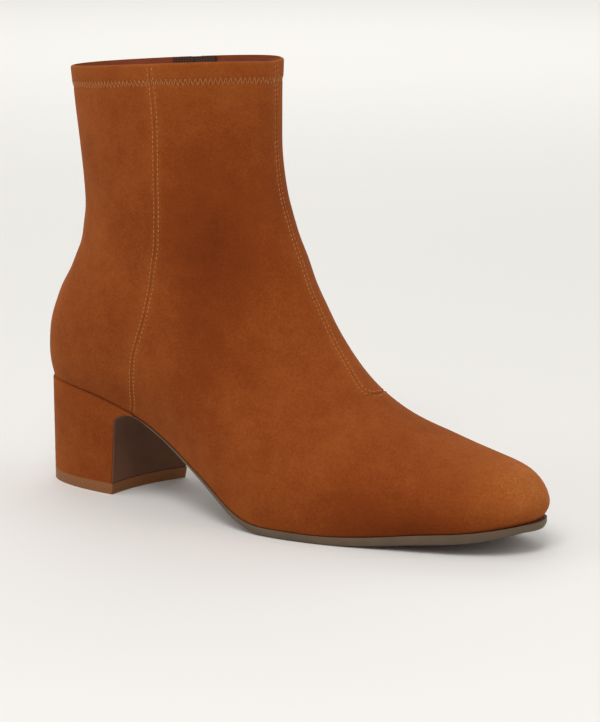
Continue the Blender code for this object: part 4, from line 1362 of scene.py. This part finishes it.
# Studio
# A pale floor and broad soft lamps, so that the shape reads without hard shadows.
FLOOR_SIZE = 6.0
floor_mesh = bpy.data.meshes.new("floor")
floor_corners = [(-FLOOR_SIZE, -FLOOR_SIZE, 0), (FLOOR_SIZE, -FLOOR_SIZE, 0),
                 (FLOOR_SIZE, FLOOR_SIZE, 0), (-FLOOR_SIZE, FLOOR_SIZE, 0)]
floor_mesh.from_pydata(floor_corners, [], [(0, 1, 2, 3)])
floor_finish = start_material("pale_studio_floor", Base_Color=hex_colour("DFDDD9"), Roughness=0.8)
floor_mesh.materials.append(floor_finish[0])
floor = bpy.data.objects.new("floor", floor_mesh)
bpy.context.scene.collection.objects.link(floor)
floor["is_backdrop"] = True

world = bpy.data.worlds.new("soft_surround")
world.use_nodes = True
world.node_tree.nodes["Background"].inputs["Color"].default_value = hex_colour("F3F2F0")
world.node_tree.nodes["Background"].inputs["Strength"].default_value = 0.66
bpy.context.scene.world = world

Lamp = namedtuple("Lamp", "name place aim size power")
BOOT_MIDDLE = (0.0, 0.0, 0.08)
LAMPS = [
    Lamp("key", (0.35, -0.9, 1.5), BOOT_MIDDLE, 0.9, 15.0),
    Lamp("fill", (-1.2, -0.9, 0.8), BOOT_MIDDLE, 1.2, 5.5),
    Lamp("front", (1.4, 0.45, 0.8), BOOT_MIDDLE, 1.0, 5.0),
    Lamp("backdrop", (-1.6, 2.2, 1.8), (-1.7, 2.4, 0.0), 2.6, 36.0),
]
for lamp in LAMPS:
    softbox = bpy.data.lights.new(lamp.name, "AREA")
    softbox.size = lamp.size
    softbox.energy = lamp.power
    holder = bpy.data.objects.new(lamp.name, softbox)
    holder.location = lamp.place
    holder.rotation_euler = (Vector(lamp.aim) - Vector(lamp.place)).to_track_quat("-Z", "Y").to_euler()
    bpy.context.scene.collection.objects.link(holder)
bpy.context.scene.view_settings.view_transform = "Standard"


# Camera
# A long lens at the photograph's height and turn, aimed a little below the ankle.
CAMERA_TURN = np.radians(37.0)
CAMERA_DISTANCE = 1122.5
CAMERA_HEIGHT = 289.5
CAMERA_AIM = np.array([130.46, 0.0, 67.17])
SENSOR_WIDTH = 36.0
FOCAL_PIXELS = 2700.0
PICTURE_HEIGHT = 722.0
camera_data = bpy.data.cameras.new("camera")
camera_data.sensor_width = SENSOR_WIDTH
camera_data.lens = SENSOR_WIDTH * FOCAL_PIXELS / PICTURE_HEIGHT
camera_place = CAMERA_AIM + CAMERA_DISTANCE * np.array([np.sin(CAMERA_TURN), -np.cos(CAMERA_TURN), 0.0])
camera_place[2] = CAMERA_HEIGHT
camera = bpy.data.objects.new("camera", camera_data)
camera.location = (camera_place - FRAME_ORIGIN) * MM
camera.rotation_euler = Vector(CAMERA_AIM - camera_place).to_track_quat("-Z", "Y").to_euler()
bpy.context.scene.collection.objects.link(camera)
bpy.context.scene.camera = camera

low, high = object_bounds()
